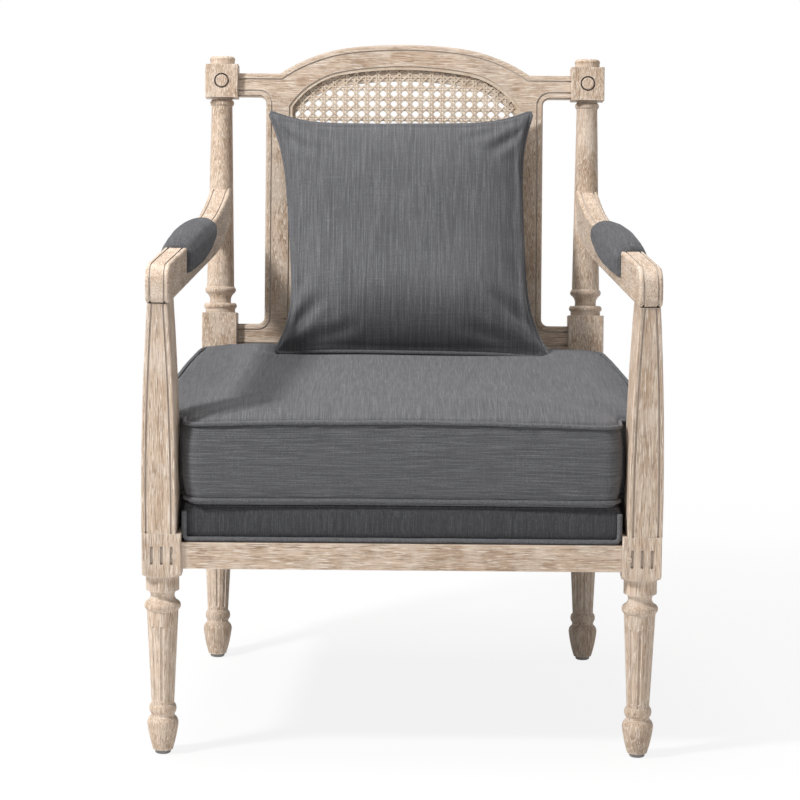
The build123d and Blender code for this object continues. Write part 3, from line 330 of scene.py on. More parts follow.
def noisy(tree, vector, scale, detail=4.0, rough=0.55, distort=0.0):
    made = node(tree, "ShaderNodeTexNoise", {"Vector": vector, "Scale": scale, "Detail": detail,
                                             "Roughness": rough, "Distortion": distort})
    return made.outputs["Fac"]


def stretched(tree, scale, turn=(0, 0, 0), move=(0, 0, 0)):
    where = node(tree, "ShaderNodeTexCoord").outputs["Object"]
    first = node(tree, "ShaderNodeMapping", {"Vector": where, "Rotation": turn, "Location": move})
    made = node(tree, "ShaderNodeMapping", {"Vector": first.outputs["Vector"], "Scale": scale})
    return made.outputs["Vector"]


def colour(red, green, blue, level=1.0):
    return (red * level, green * level, blue * level, 1.0)


def material(name):
    made = bpy.data.materials.new(name)
    made.use_nodes = True
    tree = made.node_tree
    return made, tree, tree.nodes["Principled BSDF"]


def finished(tree, shader, inputs):
    for name, value in inputs.items():
        feed(tree, shader.inputs[name], value)


def bumped(tree, shader, height, distance, strength):
    made = node(tree, "ShaderNodeBump",
                {"Height": height, "Distance": distance, "Strength": strength})
    feed(tree, shader.inputs["Normal"], made.outputs["Normal"])


# Dark brown painted into the deepest hollows of the oak: painted shade
OAK_PAINTED_SHADE = colour(0.15, 0.095, 0.06)
OAK_DARK = colour(0.24, 0.155, 0.10)
OAK_MID = colour(0.50, 0.36, 0.255)
OAK_PALE = colour(0.65, 0.505, 0.385)
LIME_WHITE = colour(0.80, 0.70, 0.60)
STREAK_FINENESS, PORE_FINENESS = 14.0, 18.0


def limed_oak(name, grain, seed):
    """Oak brushed open along its grain, with white wax in pores and grooves, and paler along sharp
    edges.
    """
    made, tree, shader = material(name)
    move = (seed, seed * 0.7, seed * 1.3)
    long_way, pore_way = [
        stretched(tree, [1.0 if i == grain else fineness for i in range(3)], move=move)
        for fineness in (STREAK_FINENESS, PORE_FINENESS)]
    plain = stretched(tree, (1, 1, 1), move=move)
    broad = noisy(tree, long_way, 6.0, 3.0, 0.5, 0.4)
    stain = noisy(tree, plain, 14.0, 4.0, 0.6)
    streak = noisy(tree, long_way, 44.0, 5.0, 0.62, 0.15)
    pore = noisy(tree, pore_way, 46.0, 3.0, 0.6)
    wash = noisy(tree, plain, 26.0, 5.0, 0.65)
    hollow_for_lime_and_shade = node(tree, "ShaderNodeAmbientOcclusion", {"Distance": 0.008}, samples=8).outputs["AO"]
    soft = node(tree, "ShaderNodeBevel", {"Radius": 0.0018}, samples=4).outputs["Normal"]
    here = node(tree, "ShaderNodeNewGeometry").outputs["Normal"]
    facing = node(tree, "ShaderNodeVectorMath", {0: soft, 1: here}, operation="DOT_PRODUCT")
    base = mixed(tree, ranged(tree, broad, 0.36, 0.64), OAK_MID, OAK_PALE)
    base = veiled(tree, base, stain, 0.50, 0.72, 0.5, OAK_DARK)
    base = veiled(tree, base, streak, 0.49, 0.63, 0.72, OAK_DARK)
    base = veiled(tree, base, pore, 0.53, 0.62, 0.9, LIME_WHITE)
    base = veiled(tree, base, wash, 0.48, 0.66, 0.4, LIME_WHITE)
    base = veiled(tree, base, hollow_for_lime_and_shade, 0.90, 0.70, 0.45, LIME_WHITE)
    # Painted shade: the deepest hollows, found by ambient occlusion, are darkened to dark brown
    # where shade falls in grooves
    base = veiled(tree, base, hollow_for_lime_and_shade, 0.66, 0.40, 0.85, OAK_PAINTED_SHADE)
    # Paler along sharp edges, where the bevelled normal turns away from the true one
    base = veiled(tree, base, facing.outputs["Value"], 0.985, 0.90, 0.6, LIME_WHITE)
    finished(tree, shader, {"Base Color": base, "Specular IOR Level": 0.3,
                            "Roughness": ranged(tree, pore, 0.4, 0.7, 0.52, 0.72)})
    bumped(tree, shader, maths(tree, "ADD", streak, pore), 0.0004, 0.6)
    return made


FABRIC_DARK = (0.070, 0.071, 0.076)
FABRIC_MID = (0.122, 0.122, 0.129)
FABRIC_PALE = (0.200, 0.200, 0.207)


def linen(name, slub, cross, turn=(0, 0, 0), level=1.0):
    """Charcoal linen-look cloth: slubs one way, fine cross threads, a dusty sheen."""
    made, tree, shader = material(name)
    slubs = stretched(tree, slub, turn)
    threads = stretched(tree, cross, turn)
    plain = stretched(tree, (1, 1, 1), turn)
    main = noisy(tree, slubs, 8.5, 4.0, 0.65)
    fine = noisy(tree, slubs, 21.0, 3.0, 0.65)
    weft = noisy(tree, threads, 15.0, 3.0, 0.6)
    weave = noisy(tree, plain, 620.0, 2.0, 0.6)
    cloud = noisy(tree, plain, 9.0, 3.0, 0.5)
    dark, mid, pale = [colour(*tone, level) for tone in (FABRIC_DARK, FABRIC_MID, FABRIC_PALE)]
    base = mixed(tree, ranged(tree, main, 0.28, 0.68), dark, mid)
    base = veiled(tree, base, fine, 0.47, 0.66, 0.85, pale)
    base = veiled(tree, base, weft, 0.52, 0.72, 0.3, pale)
    base = veiled(tree, base, weave, 0.46, 0.66, 0.6, dark)
    base = veiled(tree, base, cloud, 0.35, 0.7, 0.25, mid)
    finished(tree, shader, {"Base Color": base, "Specular IOR Level": 0.12,
                            "Roughness": ranged(tree, fine, 0.3, 0.7, 0.86, 0.97),
                            "Sheen Weight": 0.16, "Sheen Roughness": 0.5,
                            "Sheen Tint": colour(0.75, 0.75, 0.78)})
    bumped(tree, shader, maths(tree, "ADD", fine, weft), 0.0007, 0.7)
    return made


def caned(name):
    """Rattan skin: pale straw, mottled, with small dark specks."""
    made, tree, shader = material(name)
    plain = stretched(tree, (1, 1, 1))
    tone = noisy(tree, plain, 60.0, 4.0, 0.6)
    speck = noisy(tree, plain, 420.0, 2.0, 0.5)
    base = mixed(tree, ranged(tree, tone, 0.3, 0.7),
                 colour(0.60, 0.46, 0.34), colour(0.74, 0.63, 0.51))
    base = veiled(tree, base, speck, 0.58, 0.72, 0.6, colour(0.40, 0.28, 0.18))
    finished(tree, shader, {"Base Color": base,
                            "Roughness": ranged(tree, tone, 0.3, 0.7, 0.42, 0.6)})
    bumped(tree, shader, speck, 0.0003, 0.5)
    return made


def lining(name, tone):
    """Thin woven lining."""
    made, tree, shader = material(name)
    one = noisy(tree, stretched(tree, (14, 1, 1)), 90.0, 3.0)
    other = noisy(tree, stretched(tree, (1, 14, 1)), 90.0, 3.0)
    weave = maths(tree, "MULTIPLY", one, other)
    base = mixed(tree, ranged(tree, weave, 0.18, 0.34), colour(*tone), colour(*tone, 1.9))
    finished(tree, shader, {"Base Color": base, "Roughness": 0.92})
    bumped(tree, shader, weave, 0.0005, 0.6)
    return made


def metal(name):
    """Bright drawn steel with fine scratches."""
    made, tree, shader = material(name)
    scratch = noisy(tree, stretched(tree, (40, 3, 40)), 60.0, 4.0)
    base = mixed(tree, ranged(tree, scratch, 0.3, 0.7),
                 colour(0.42, 0.42, 0.43), colour(0.62, 0.62, 0.63))
    finished(tree, shader, {"Base Color": base, "Metallic": 1.0,
                            "Roughness": ranged(tree, scratch, 0.3, 0.7, 0.28, 0.45)})
    bumped(tree, shader, scratch, 0.0001, 0.4)
    return made


def moulded(name, tone):
    """Moulded plastic with a fine grain."""
    made, tree, shader = material(name)
    grain = noisy(tree, stretched(tree, (1, 1, 1)), 700.0, 2.0)
    base = mixed(tree, ranged(tree, grain, 0.35, 0.65), colour(*tone), colour(*tone, 1.25))
    finished(tree, shader, {"Base Color": base,
                            "Roughness": ranged(tree, grain, 0.3, 0.7, 0.45, 0.6)})
    bumped(tree, shader, grain, 0.0002, 0.4)
    return made


OAK = {axis: limed_oak("limed_oak_" + "xyz"[axis], axis, 0.37 * axis) for axis in range(3)}
CANE = caned("cane")
STEEL = metal("steel")
GLIDE = moulded("glide_plastic", (0.26, 0.25, 0.24))
CLIP = moulded("clip_plastic", (0.05, 0.05, 0.055))
CLOTH = {
    "along": linen("linen_along", (44, 1, 0.5), (1, 44, 0.5)),
    "border": linen("linen_border", (1, 1, 44), (44, 44, 1)),
    # Painted shade: the deck's band cloth is this linen at about half its brightness, standing in
    # for the shade under the cushion's front
    "upright": linen("linen_deck_painted_shade", (44, 44, 1), (1, 1, 44), level=0.53),
    "pillow": linen("linen_pillow", (44, 0.5, 1), (1, 0.5, 44), (PILLOW_LEAN, 0, 0)),
    "pad": linen("linen_pad", (44, 1, 8), (1, 44, 1), level=0.82),
    # Painted highlight: the piping's linen is a tenth lighter than the cover, standing in for the
    # light caught along the piping
    "welt": linen("linen_welt_painted_highlight", (30, 30, 30), (44, 44, 44), level=1.1),
}


def coat(obj, *made):
    obj.data.materials.clear()
    for one in made:
        obj.data.materials.append(one)


# Axis of the grain by the start of a node's name, and the finish of the other solids
GRAIN = {"front_leg": 2, "rear_post": 2, "arm_support": 2, "back_stile": 2, "front_seat_rail": 0,
         "rear_seat_rail": 0, "back_top_rail": 0, "back_bottom_rail": 0, "rosette": 2,
         "corner_block": 0, "arm_left": 1, "arm_right": 1, "side_seat_rail": 1, "arm_dowels": 2,
         "support_dowels": 2, "back_frame_pegs": 0, "seat_rail_pegs": 0}
FINISH = {"cane_spline": CANE, "cane_panel": CANE, "corner_block_screws": STEEL,
          "seat_springs": STEEL, "spring_clips": CLIP, "foot_glides": GLIDE}
for name, obj in NODES.items():
    chosen = FINISH.get(name)
    for start, axis in GRAIN.items():
        if name.startswith(start):
            chosen = OAK[axis]
    coat(obj, chosen or CLOTH["welt"])


# Seat cushion
RING_POINTS, WELT_POINTS = 480, 620
CUSHION_ROUND, CUSHION_NOTCH = 22, 8
CUSHION_WIDEST = 384.0
CUSHION_VOXEL = 0.0045
SEAM_HALF, SEAM_RISE, SEAM_FALL, SEAM_REAR_RISE = 281, 2.1, 4.5, 5.0
LIP_REAR, LIP_RUN = 6, 20
CROWN_RISE, CROWN_REACH, CROWN_EDGE, CROWN_BLEND = 18.0, 16.0, 5.8, 1.5
LOFT_RISE = 14
BED_TOP, BED_Y, BED_HALF_X, BED_HALF_Y = 449.0, 452, 185, 8


def cushion_corners(z, inset):
    """Corners of the cushion's plan at a height, all drawn in by an inset."""
    rear = REAR_FOOT_Y + z * tan(RAKE) - BLOCK / 2 / cos(RAKE) - CUSHION_GAP - inset
    near, front, step = CUSHION_X - inset, inset - CUSHION_FRONT, CUSHION_STEP + inset
    wide, end = CUSHION_WIDE - inset, CUSHION_END - inset
    belly = CUSHION_MIDDLE - (CUSHION_WIDE + CUSHION_END) / 2
    return [(-near, front, CUSHION_ROUND, -CUSHION_DRAW), (near, front, CUSHION_ROUND, 0),
            (near, step, CUSHION_NOTCH, 0), (wide, step, CUSHION_NOTCH, belly),
            (end, rear, CUSHION_ROUND, -CUSHION_DRAW), (-end, rear, CUSHION_ROUND, belly),
            (-wide, step, CUSHION_NOTCH, 0), (-near, step, CUSHION_NOTCH, 0)]


def seam_shift(x, y):
    """Rise of the top seam over its level: up in the middle of the front and at the back."""
    near = np.exp(-((y + CUSHION_FRONT) / 170) ** 2)
    s = np.clip((y - 100) / 460, 0, 1)
    front = near * (SEAM_RISE - SEAM_FALL * (x / SEAM_HALF) ** 2)
    return front + s * s * (3 - 2 * s) * (SEAM_REAR_RISE - 0.006 * x)


def cushion_ring(z, inset, drop=0.0, count=RING_POINTS):
    """Outline of the cushion at a height; the drop lowers its front edge."""
    flat = resampled(rounded(cushion_corners(z, inset)), count)
    share = np.clip((z - LOW_SEAM) / (TOP_SEAM - LOW_SEAM), 0, 1)
    lip = drop * np.clip((LIP_REAR - flat[:, 1]) / LIP_RUN, 0, 1)
    lift = share * seam_shift(flat[:, 0], flat[:, 1]) - lip
    return np.column_stack([flat, z + lift])


def crown_height(x, y, depth):
    """Height of the cushion's top, sunk where the pillow stands."""
    inside = np.maximum(depth - CROWN_EDGE, 0)
    full = seam_shift(x, y) + CROWN_RISE * (1 - np.exp(-inside / CROWN_REACH))
    bed = BED_TOP - TOP_SEAM + 0.25 * np.maximum(abs(y - BED_Y) - BED_HALF_Y, 0)
    bed = bed + 0.35 * np.maximum(abs(x - PILLOW_X) - BED_HALF_X, 0)
    return TOP_SEAM - CROWN_BLEND * np.log(np.exp(-full / CROWN_BLEND) + np.exp(-bed / CROWN_BLEND))


# Rings from the middle of the underside, round the border, to the middle of the top
CUSHION_RINGS = [(328.6, 150, 0), (328.6, 40, 0), (328.6, 22, 0), (328.6, 13, 1.2),
                 (328.6, 8.5, 1.6), (329.6, 5.4, 1.0), (331.4, 5.0, 0), (LOW_SEAM, 6.6, 0),
                 (341, 5.0, 0), (352, 3.4, 0), (368, 2.2, 0), (CUSHION_WIDEST, 1.8, 0),
                 (400, 2.2, 0), (416, 3.4, 0), (427, 5.0, 0), (TOP_SEAM, 6.6, 0)]
for inset in (10, 15, 22, 32, 48, 70, 110, 160, 215):
    crown = LOFT_RISE * (1 - exp(-(inset - CROWN_EDGE) / CROWN_REACH))
    CUSHION_RINGS.append((TOP_SEAM + crown, inset, 0))
seat = lofted("seat_cushion_pad", [placed(cushion_ring(*ring)) for ring in CUSHION_RINGS])
recalc(seat)
remeshed(seat, CUSHION_VOXEL)
plan_tree = kdtree.KDTree(RING_POINTS)
for i, p in enumerate(cushion_ring(CUSHION_WIDEST, 0)):
    plan_tree.insert((p[0], p[1], 0), i)
plan_tree.balance()


def rim(points):
    """For each point: how far it lies inside the outline, and where along the outline."""
    found = [plan_tree.find((p[0], p[1], 0)) for p in points]
    return np.array([f[2] for f in found]), np.array([f[1] for f in found])


def held_points(points):
    """Points of the cushion that the seams and the deck keep in place."""
    to_low = points[:, 2] - LOW_SEAM
    to_top = points[:, 2] - TOP_SEAM - seam_shift(points[:, 0], points[:, 1])
    near_seam = (rim(points)[0] < 13) & ((abs(to_low) < 5) | (abs(to_top) < 5))
    return near_seam | (points[:, 2] < 331.5)


def pucker(along, gap, phase):
    """Small gathers beside a seam, at a place along it and a gap from it."""
    ripple = noise.noise(Vector((along * 0.055, phase, 0.3)))
    ripple += 0.6 * noise.noise(Vector((along * 0.12, phase, 4.0)))
    return 1.5 * ripple * exp(-(gap / 13) ** 2) * min(1, gap / 5)


def dressed_cushion():
    """Keep the swollen cushion in its place, then sink its seams and pucker its border."""
    points, facing = laid(seat), normals(seat)
    depth, station = rim(points)
    seam_level = TOP_SEAM + seam_shift(points[:, 0], points[:, 1])
    crown = crown_height(points[:, 0], points[:, 1], depth)
    upper = points[:, 2] > seam_level
    points[upper, 2] = np.minimum(points[upper, 2], crown[upper])
    for i, p in enumerate(points):
        push = 0.0
        for seam, phase in ((LOW_SEAM, 0.0), (seam_level[i], 9.1)):
            gap = abs(p[2] - seam)
            if depth[i] < 34 and gap < 30:
                push += pucker(station[i] * 5.0, gap, phase)
                push -= 0.9 * exp(-(gap / 3.6) ** 2) * (depth[i] < 14)
        if upper[i]:
            push += noise.noise(Vector((p[0] * 0.012, p[1] * 0.009, 2.0)))
        if p[2] > DECK_TOP + 4:
            points[i] += facing[i] * push
    points[upper, 2] = np.minimum(points[upper, 2], crown[upper] + 0.6)
    lip = (points[:, 1] < 4) & (depth < 16)
    points[:, 2] = np.maximum(points[:, 2], np.where(lip, DECK_TOP - 1.1, DECK_TOP + 0.6))
    set_coords(seat, placed(points))


inflated(seat, held_points(laid(seat)), 3.2, 0.022)
dressed_cushion()
coat(seat, CLOTH["border"], CLOTH["along"])
for face in seat.data.polygons:
    face.material_index = 1 if abs(face.normal.z) > 0.55 else 0
subdivided(seat)
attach(seat, "seat_cushion")
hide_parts("seat_cushion_cover", "seat_cushion_foam")

for label, seam in (("bottom", LOW_SEAM), ("top", TOP_SEAM)):
    path = cushion_ring(seam, 5.0, count=WELT_POINTS)
    for i in range(WELT_POINTS):
        path[i][2] += 0.7 * noise.noise(Vector((i * 0.05, seam, 0.5)))
    welt = joined("seat_cushion_piping_" + label, [tube_mesh(path, WELT_RADIUS, 0.5, seam)])
    coat(welt, CLOTH["welt"])
    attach(welt, "seat_cushion")
    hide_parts("seat_cushion_welt_" + label)


# Throw pillow, worked in its own plane: across, up and depth, in millimetres
PILLOW_HALF, PILLOW_REAR_SHARE = 52.0, 0.9
TOP_LEFT, TOP_RIGHT, LOW_RIGHT, LOW_LEFT = (-207, 191), (183, 194), (208, -192), (-192, -188)
SIDE_DRAW, TOP_DRAW, LOW_DRAW = 35.0, 30.0, 11.0
CORNER_POWER, CORNER_DRAW = 15, 0.055
PILLOW_ACROSS, PILLOW_UP = 76, 70
EDGE_CROWDING = 0.55
PIPING_RADIUS, PIPING_POINTS = 3.1, 420

# Creases that run in from the corners: start, end, depth and width
PILLOW_FOLDS = (((-178, -166), (-118, -112), 6.0, 9.0), ((-186, -150), (-140, -70), 4.0, 9.0),
                ((-150, -172), (-70, -150), 3.5, 8.0), ((190, -165), (120, -105), 7.0, 10.0),
                ((192, -140), (150, -60), 4.5, 9.0), ((150, -172), (80, -150), 4.0, 8.0),
                ((-185, 152), (-135, 108), 4.5, 8.0), ((165, 155), (115, 112), 4.5, 8.0),
                ((-150, 150), (-95, 128), 2.5, 7.0), ((130, 152), (80, 130), 2.5, 7.0))


def eased(s, power):
    return 1 - abs(s) ** power


def pillow_point(u, v):
    """Point of the seam plane for u and v from -1 to 1."""
    corners = np.array((LOW_LEFT, LOW_RIGHT, TOP_RIGHT, TOP_LEFT), float)
    weights = ((1 - u) * (1 - v) / 4, (1 + u) * (1 - v) / 4,
               (1 + u) * (1 + v) / 4, (1 - u) * (1 + v) / 4)
    spot = sum(w * c for w, c in zip(weights, corners))
    spot[0] -= (SIDE_DRAW - 6 * v) * u * eased(v, 4)
    spot[1] -= (TOP_DRAW * (1 + v) / 2 - LOW_DRAW * (1 - v) / 2) * eased(u, 5)
    return spot * (1 - CORNER_DRAW * (abs(u) * abs(v)) ** CORNER_POWER)


def fullness(u, v):
    """Share of the full thickness: the filling has settled, so the belly sits low."""
    side = (1 - abs(u) ** 3) ** 0.5
    if v > 0:
        return side * (1 - v ** 2.6) ** 0.5
    return side * (1 - abs(v) ** 6) ** 0.85 * (1 + 0.17 * exp(-((v + 0.55) / 0.3) ** 2))


def folds(spot):
    """Depth of the creases at a point of the pillow's plane."""
    total = 0.0
    for start, end, deep, wide in PILLOW_FOLDS:
        start, end = np.array(start, float), np.array(end, float)
        run, reach = end - start, spot - start
        t = reach @ run / (run @ run)
        off = abs(reach[0] * run[1] - reach[1] * run[0]) / np.hypot(*run)
        if -0.15 < t < 1.1:
            fade = sin(pi * min(1, max(0, (t + 0.15) / 1.25))) ** 0.8
            ridge = 0.45 * exp(-((off - 1.7 * wide) / wide) ** 2)
            total += deep * fade * (exp(-(off / wide) ** 2) - ridge)
    return total


def pillow_place(points):
    """From the pillow's own plane to the layout."""
    points = np.asarray(points, float)
    c, s = cos(PILLOW_LEAN), sin(PILLOW_LEAN)
    return np.column_stack([PILLOW_X + points[:, 0],
                            PILLOW_Y + c * points[:, 2] + s * points[:, 1],
                            PILLOW_Z - s * points[:, 2] + c * points[:, 1]])


def unplaced(points):
    """From the layout back to the pillow's own plane."""
    points = np.asarray(points) - (PILLOW_X, PILLOW_Y, PILLOW_Z)
    c, s = cos(PILLOW_LEAN), sin(PILLOW_LEAN)
    return np.column_stack([points[:, 0], s * points[:, 1] + c * points[:, 2],
                            c * points[:, 1] - s * points[:, 2]])


def crowded(k, count):
    """Place from -1 to 1 of a row of points that stand closer together near the edges."""
    even = 2 * k / count - 1
    return EDGE_CROWDING * -cos(pi * k / count) + (1 - EDGE_CROWDING) * even


def pillow_mesh():
    """Points, faces, (u, v, face, on the seam) of each point, and the points along the seam."""
    points, index, faces, flat = [], {}, [], []
    across, up = PILLOW_ACROSS, PILLOW_UP
    for face, full in ((-1, 1.0), (1, PILLOW_REAR_SHARE)):
        for j in range(up + 1):
            for i in range(across + 1):
                on_seam = i in (0, across) or j in (0, up)
                if face == 1 and on_seam:
                    index[face, i, j] = index[-1, i, j]
                    continue
                u, v = crowded(i, across), crowded(j, up)
                index[face, i, j] = len(points)
                points.append((*pillow_point(u, v), face * full * PILLOW_HALF * fullness(u, v)))
                flat.append((u, v, face, on_seam))
    for face in (-1, 1):
        for j in range(up):
            for i in range(across):
                quad = (index[face, i, j], index[face, i + 1, j],
                        index[face, i + 1, j + 1], index[face, i, j + 1])
                faces.append(quad if face == -1 else quad[::-1])
    seam = [index[-1, i, 0] for i in range(across)]
    seam += [index[-1, across, j] for j in range(up)]
    seam += [index[-1, i, up] for i in range(across, 0, -1)]
    seam += [index[-1, 0, j] for j in range(up, 0, -1)]
    return np.array(points), faces, flat, seam


def dressed_pillow():
    """Creases at the corners and small gathers along the seam, kept off the chair's back."""
    local = unplaced(laid(pillow))
    for i, (u, v, face, on_seam) in enumerate(pillow_flat):
        if on_seam:
            continue
        edge = max(abs(u), abs(v))
        gather = noise.noise(Vector((u * 9, v * 9, face * 3.0)))
        gather *= max(0, (edge - 0.72) / 0.28) * (1 - edge) * 9
        roll = 1.6 * noise.noise(Vector((u * 2.2, v * 2.2, 5.0 + face)))
        fade = min(1, (1 - edge) / 0.10)
        local[i, 2] += face * (gather + roll * fade) - face * folds(local[i, :2]) * fade
        local[i, 2] = min(max(local[i, 2], -PILLOW_HALF - 9), PILLOW_HALF)
    set_coords(pillow, placed(pillow_place(local)))


flat_points, pillow_faces, pillow_flat, pillow_seam = pillow_mesh()
pillow = piece("throw_pillow_pad", placed(pillow_place(flat_points)), pillow_faces)
recalc(pillow)
inflated(pillow, np.array([f[3] for f in pillow_flat]), 3.0, 0.004)
dressed_pillow()
coat(pillow, CLOTH["pillow"])
subdivided(pillow)
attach(pillow, "throw_pillow")
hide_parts("pillow_cover", "pillow_insert")

seam_line = resampled(laid(pillow)[pillow_seam], PIPING_POINTS)
piping = joined("throw_pillow_piping", [tube_mesh(seam_line, PIPING_RADIUS, 0.4, 5.0)])
coat(piping, CLOTH["welt"])
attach(piping, "throw_pillow")
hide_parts("pillow_welt")


# Arm pads, in the arm's own frame: across, along and up
ARM_X, ARM_TURN = 307.0, radians(4.166)
ARM_HALF, ARM_TOP = 15.0, 636.0
ARM_BEND, SWEEP_RADIUS = 448.0, 647.0
PAD_START, PAD_LENGTH = 142.0, 295.0
PAD_SKIN, PAD_LEAST, PAD_WIDE, PAD_HIGH = 0.8, 1.7, 6.5, 13.0
PAD_DROP, PAD_TAPER, PAD_SIDE = 33, 15, 6.6
PAD_ROUND_FRONT, PAD_ROUND_REAR = 13, 16
PAD_END_FRONT, PAD_END_REAR = 16, 18
PAD_OUTER, PAD_INNER = 30, 12
PAD_AROUND = 2 * PAD_OUTER - 1
PAD_SEAM = 15


def quarter(s):
    """Height of a quarter circle over a run from 0 to 1."""
    return sqrt(max(0.0, 1 - (1 - min(1, s)) ** 2))


def pad_section(along):
    """Outer and inner half sections of a pad, from low edge to middle, at a share of its length."""
    swell = sin(pi * (0.12 + 0.8 * along))
    near, left = along * PAD_LENGTH, (1 - along) * PAD_LENGTH
    end = quarter(near / PAD_ROUND_FRONT) * quarter(left / PAD_ROUND_REAR)
    half = ARM_HALF + PAD_SKIN + (PAD_LEAST + PAD_WIDE * swell) * end
    top = ARM_TOP + PAD_SKIN + (PAD_LEAST + PAD_HIGH * swell) * end
    low = ARM_TOP - PAD_DROP + PAD_TAPER * along ** 3
    side = ARM_TOP - PAD_SIDE
    rise = top - side
    radius = (half * half + rise * rise) / (2 * rise)
    reach = atan2(half, radius - rise)
    angles = [reach * (1 - k / 14) for k in range(15)]
    arc = [(radius * sin(a), top - radius + radius * cos(a)) for a in angles]
    skirt = [(ARM_HALF + 0.4, low), (half - 1.4, low + 0.4), (half - 0.2, low + 3),
             (half, low + 10), (half, side - 8)]
    outer = resampled(skirt + arc, PAD_OUTER, closed=False)
    inner = resampled([(ARM_HALF + 0.3, low + 0.6), (ARM_HALF + 0.3, ARM_TOP - 2),
                       (ARM_HALF - 2, ARM_TOP + 0.3), (0, ARM_TOP + 0.3)], PAD_INNER, closed=False)
    lift = max(0.0, PAD_START + near - ARM_BEND) ** 2 / (2 * SWEEP_RADIUS)
    return outer + (0, lift), inner + (0, lift)


def pad_ring(along, side):
    outer, inner = pad_section(along)
    ring = [(-x, z) for x, z in outer] + [(x, z) for x, z in outer[-2::-1]]
    ring += [(x, z) for x, z in inner] + [(-x, z) for x, z in inner[-2::-1]]
    y = PAD_START + along * PAD_LENGTH
    c, s = cos(ARM_TURN), sin(ARM_TURN)
    return placed([(side * (ARM_X - x * c - y * s), -x * s + y * c, z) for x, z in ring])


def pad_stations():
    """Shares of the pad's length, close together at its rounded ends."""
    front, rear = PAD_END_FRONT / PAD_LENGTH, PAD_END_REAR / PAD_LENGTH
    ends = [1 - cos(pi / 2 * k / 7) for k in range(8)]
    middle = list(np.linspace(front, 1 - rear, 58)[1:-1])
    return [e * front for e in ends] + middle + [1 - e * rear for e in ends[::-1]]


def dressed_pad(pad, side, shares, count):
    """Uneven cloth, and the seam across the front of a pad."""
    points, facing = coords(pad) * 1000, normals(pad)
    for r, share in enumerate(shares):
        fade = min(1, share * 9, (1 - share) * 9)
        sunk = 1.5 * exp(-((share * PAD_LENGTH - PAD_SEAM) / 2.6) ** 2)
        for k in range(PAD_AROUND):
            p = points[r * count + k]
            push = 0.7 * noise.noise(Vector((p[0] * 0.03, p[1] * 0.02, 1.0 + side))) * fade
            push += 0.5 * noise.noise(Vector((p[0] * 0.02, p[1] * 0.11, 6.0))) * fade
            push -= sunk * (3 < k < PAD_AROUND - 4)
            p += facing[r * count + k] * push
    set_coords(pad, points / 1000)


for label, side in (("left", -1), ("right", 1)):
    shares = pad_stations()
    rings = [pad_ring(share, side) for share in shares]
    pad = lofted("arm_pad_" + label, rings)
    recalc(pad)
    dressed_pad(pad, side, shares, len(rings[0]))
    coat(pad, CLOTH["pad"])
    subdivided(pad)
    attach(pad, "frame")
    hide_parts("arm_pad_cover_" + label, "arm_pad_foam_" + label)


# Deck: padded top with a band, and its piping. Right-hand corners of its plan: x, y and radius
DECK_CORNERS = ((279, -12, 5), (279, 31, 3), (320.6, 31, 5), (280.8, 545.5, 4), (235, 545.5, 3),
                (235, 582.0, 4))
DECK_MIDDLE, DECK_POINTS = 300, 560
DECK_WELT, DECK_TURN = 3.4, 7.0
DECK_RINGS = ((319.3, 8.5), (282, 8.5), (281, 5), (281, 3), (286, 1.2), (297, 0.2), (310, 0.2),
              (320, 1.0), (325, 2.8), (327.3, 6), (327.8, 12), (327.9, 40), (327.9, 120))


def deck_ring(z, inset):
    """Outline of the deck at a height, drawn in by an inset."""
    right = [(x - inset, y + inset if y < DECK_MIDDLE else y - inset, radius, 0)
             for x, y, radius in DECK_CORNERS]
    left = [(-x, y, radius, bow) for x, y, radius, bow in right[::-1]]
    flat = resampled(rounded(right + left), DECK_POINTS)
    return np.column_stack([flat, np.full(DECK_POINTS, z)])


def corner_path(points, radius):
    """Open line with rounded corners."""
    points = [np.array(p, float) for p in points]
    line = [points[0]]
    for before, here, after in zip(points, points[1:], points[2:]):
        back, on = before - here, after - here
        back, on = back / np.linalg.norm(back), on / np.linalg.norm(on)
        for k in range(9):
            t = k / 8
            line.append(here + back * radius * (1 - t) ** 2 + on * radius * t ** 2)
    line.append(points[-1])
    line = np.array(line)
    length = np.linalg.norm(np.diff(line, axis=0), axis=1).sum()
    return resampled(line, int(ceil(length / OUTLINE_STEP)), closed=False)


def dressed_deck():
    """Uneven cloth on the band of the deck."""
    points, facing = coords(deck) * 1000, normals(deck)
    for i, p in enumerate(points):
        if 285 < p[2] < 326:
            uneven = noise.noise(Vector((p[0] * 0.045, p[1] * 0.045, p[2] * 0.02)))
            points[i] += facing[i] * 0.5 * uneven
    set_coords(deck, points / 1000)


deck = lofted("deck_pad", [placed(deck_ring(z, inset)) for z, inset in DECK_RINGS])
recalc(deck)
dressed_deck()
# The upright band gets the darkened linen as painted shade from the cushion above; faces that lie
# flat get the plain linen
coat(deck, CLOTH["upright"], CLOTH["along"])
for face in deck.data.polygons:
    face.material_index = 1 if abs(face.normal.z) > 0.7 else 0
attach(deck, "frame")
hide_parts("deck_cover", "deck_foam")

low, high, front, edge = 283.4, 320.0, -13.8, 276.5
runs = [[(-edge, front, high), (-edge, front, low), (edge, front, low), (edge, front, high)],
        [(318.6, 36, low), (279.2, 541, low)],
        [(-318.6, 36, low), (-279.2, 541, low)],
        [(-231, 580.4, low), (231, 580.4, low)]]
deck_piping = joined("deck_piping", [
    tube_mesh(corner_path(run, DECK_TURN), DECK_WELT, 0.35, 2.0, closed=False) for run in runs])
coat(deck_piping, CLOTH["welt"])
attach(deck_piping, "frame")
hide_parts("deck_welt")


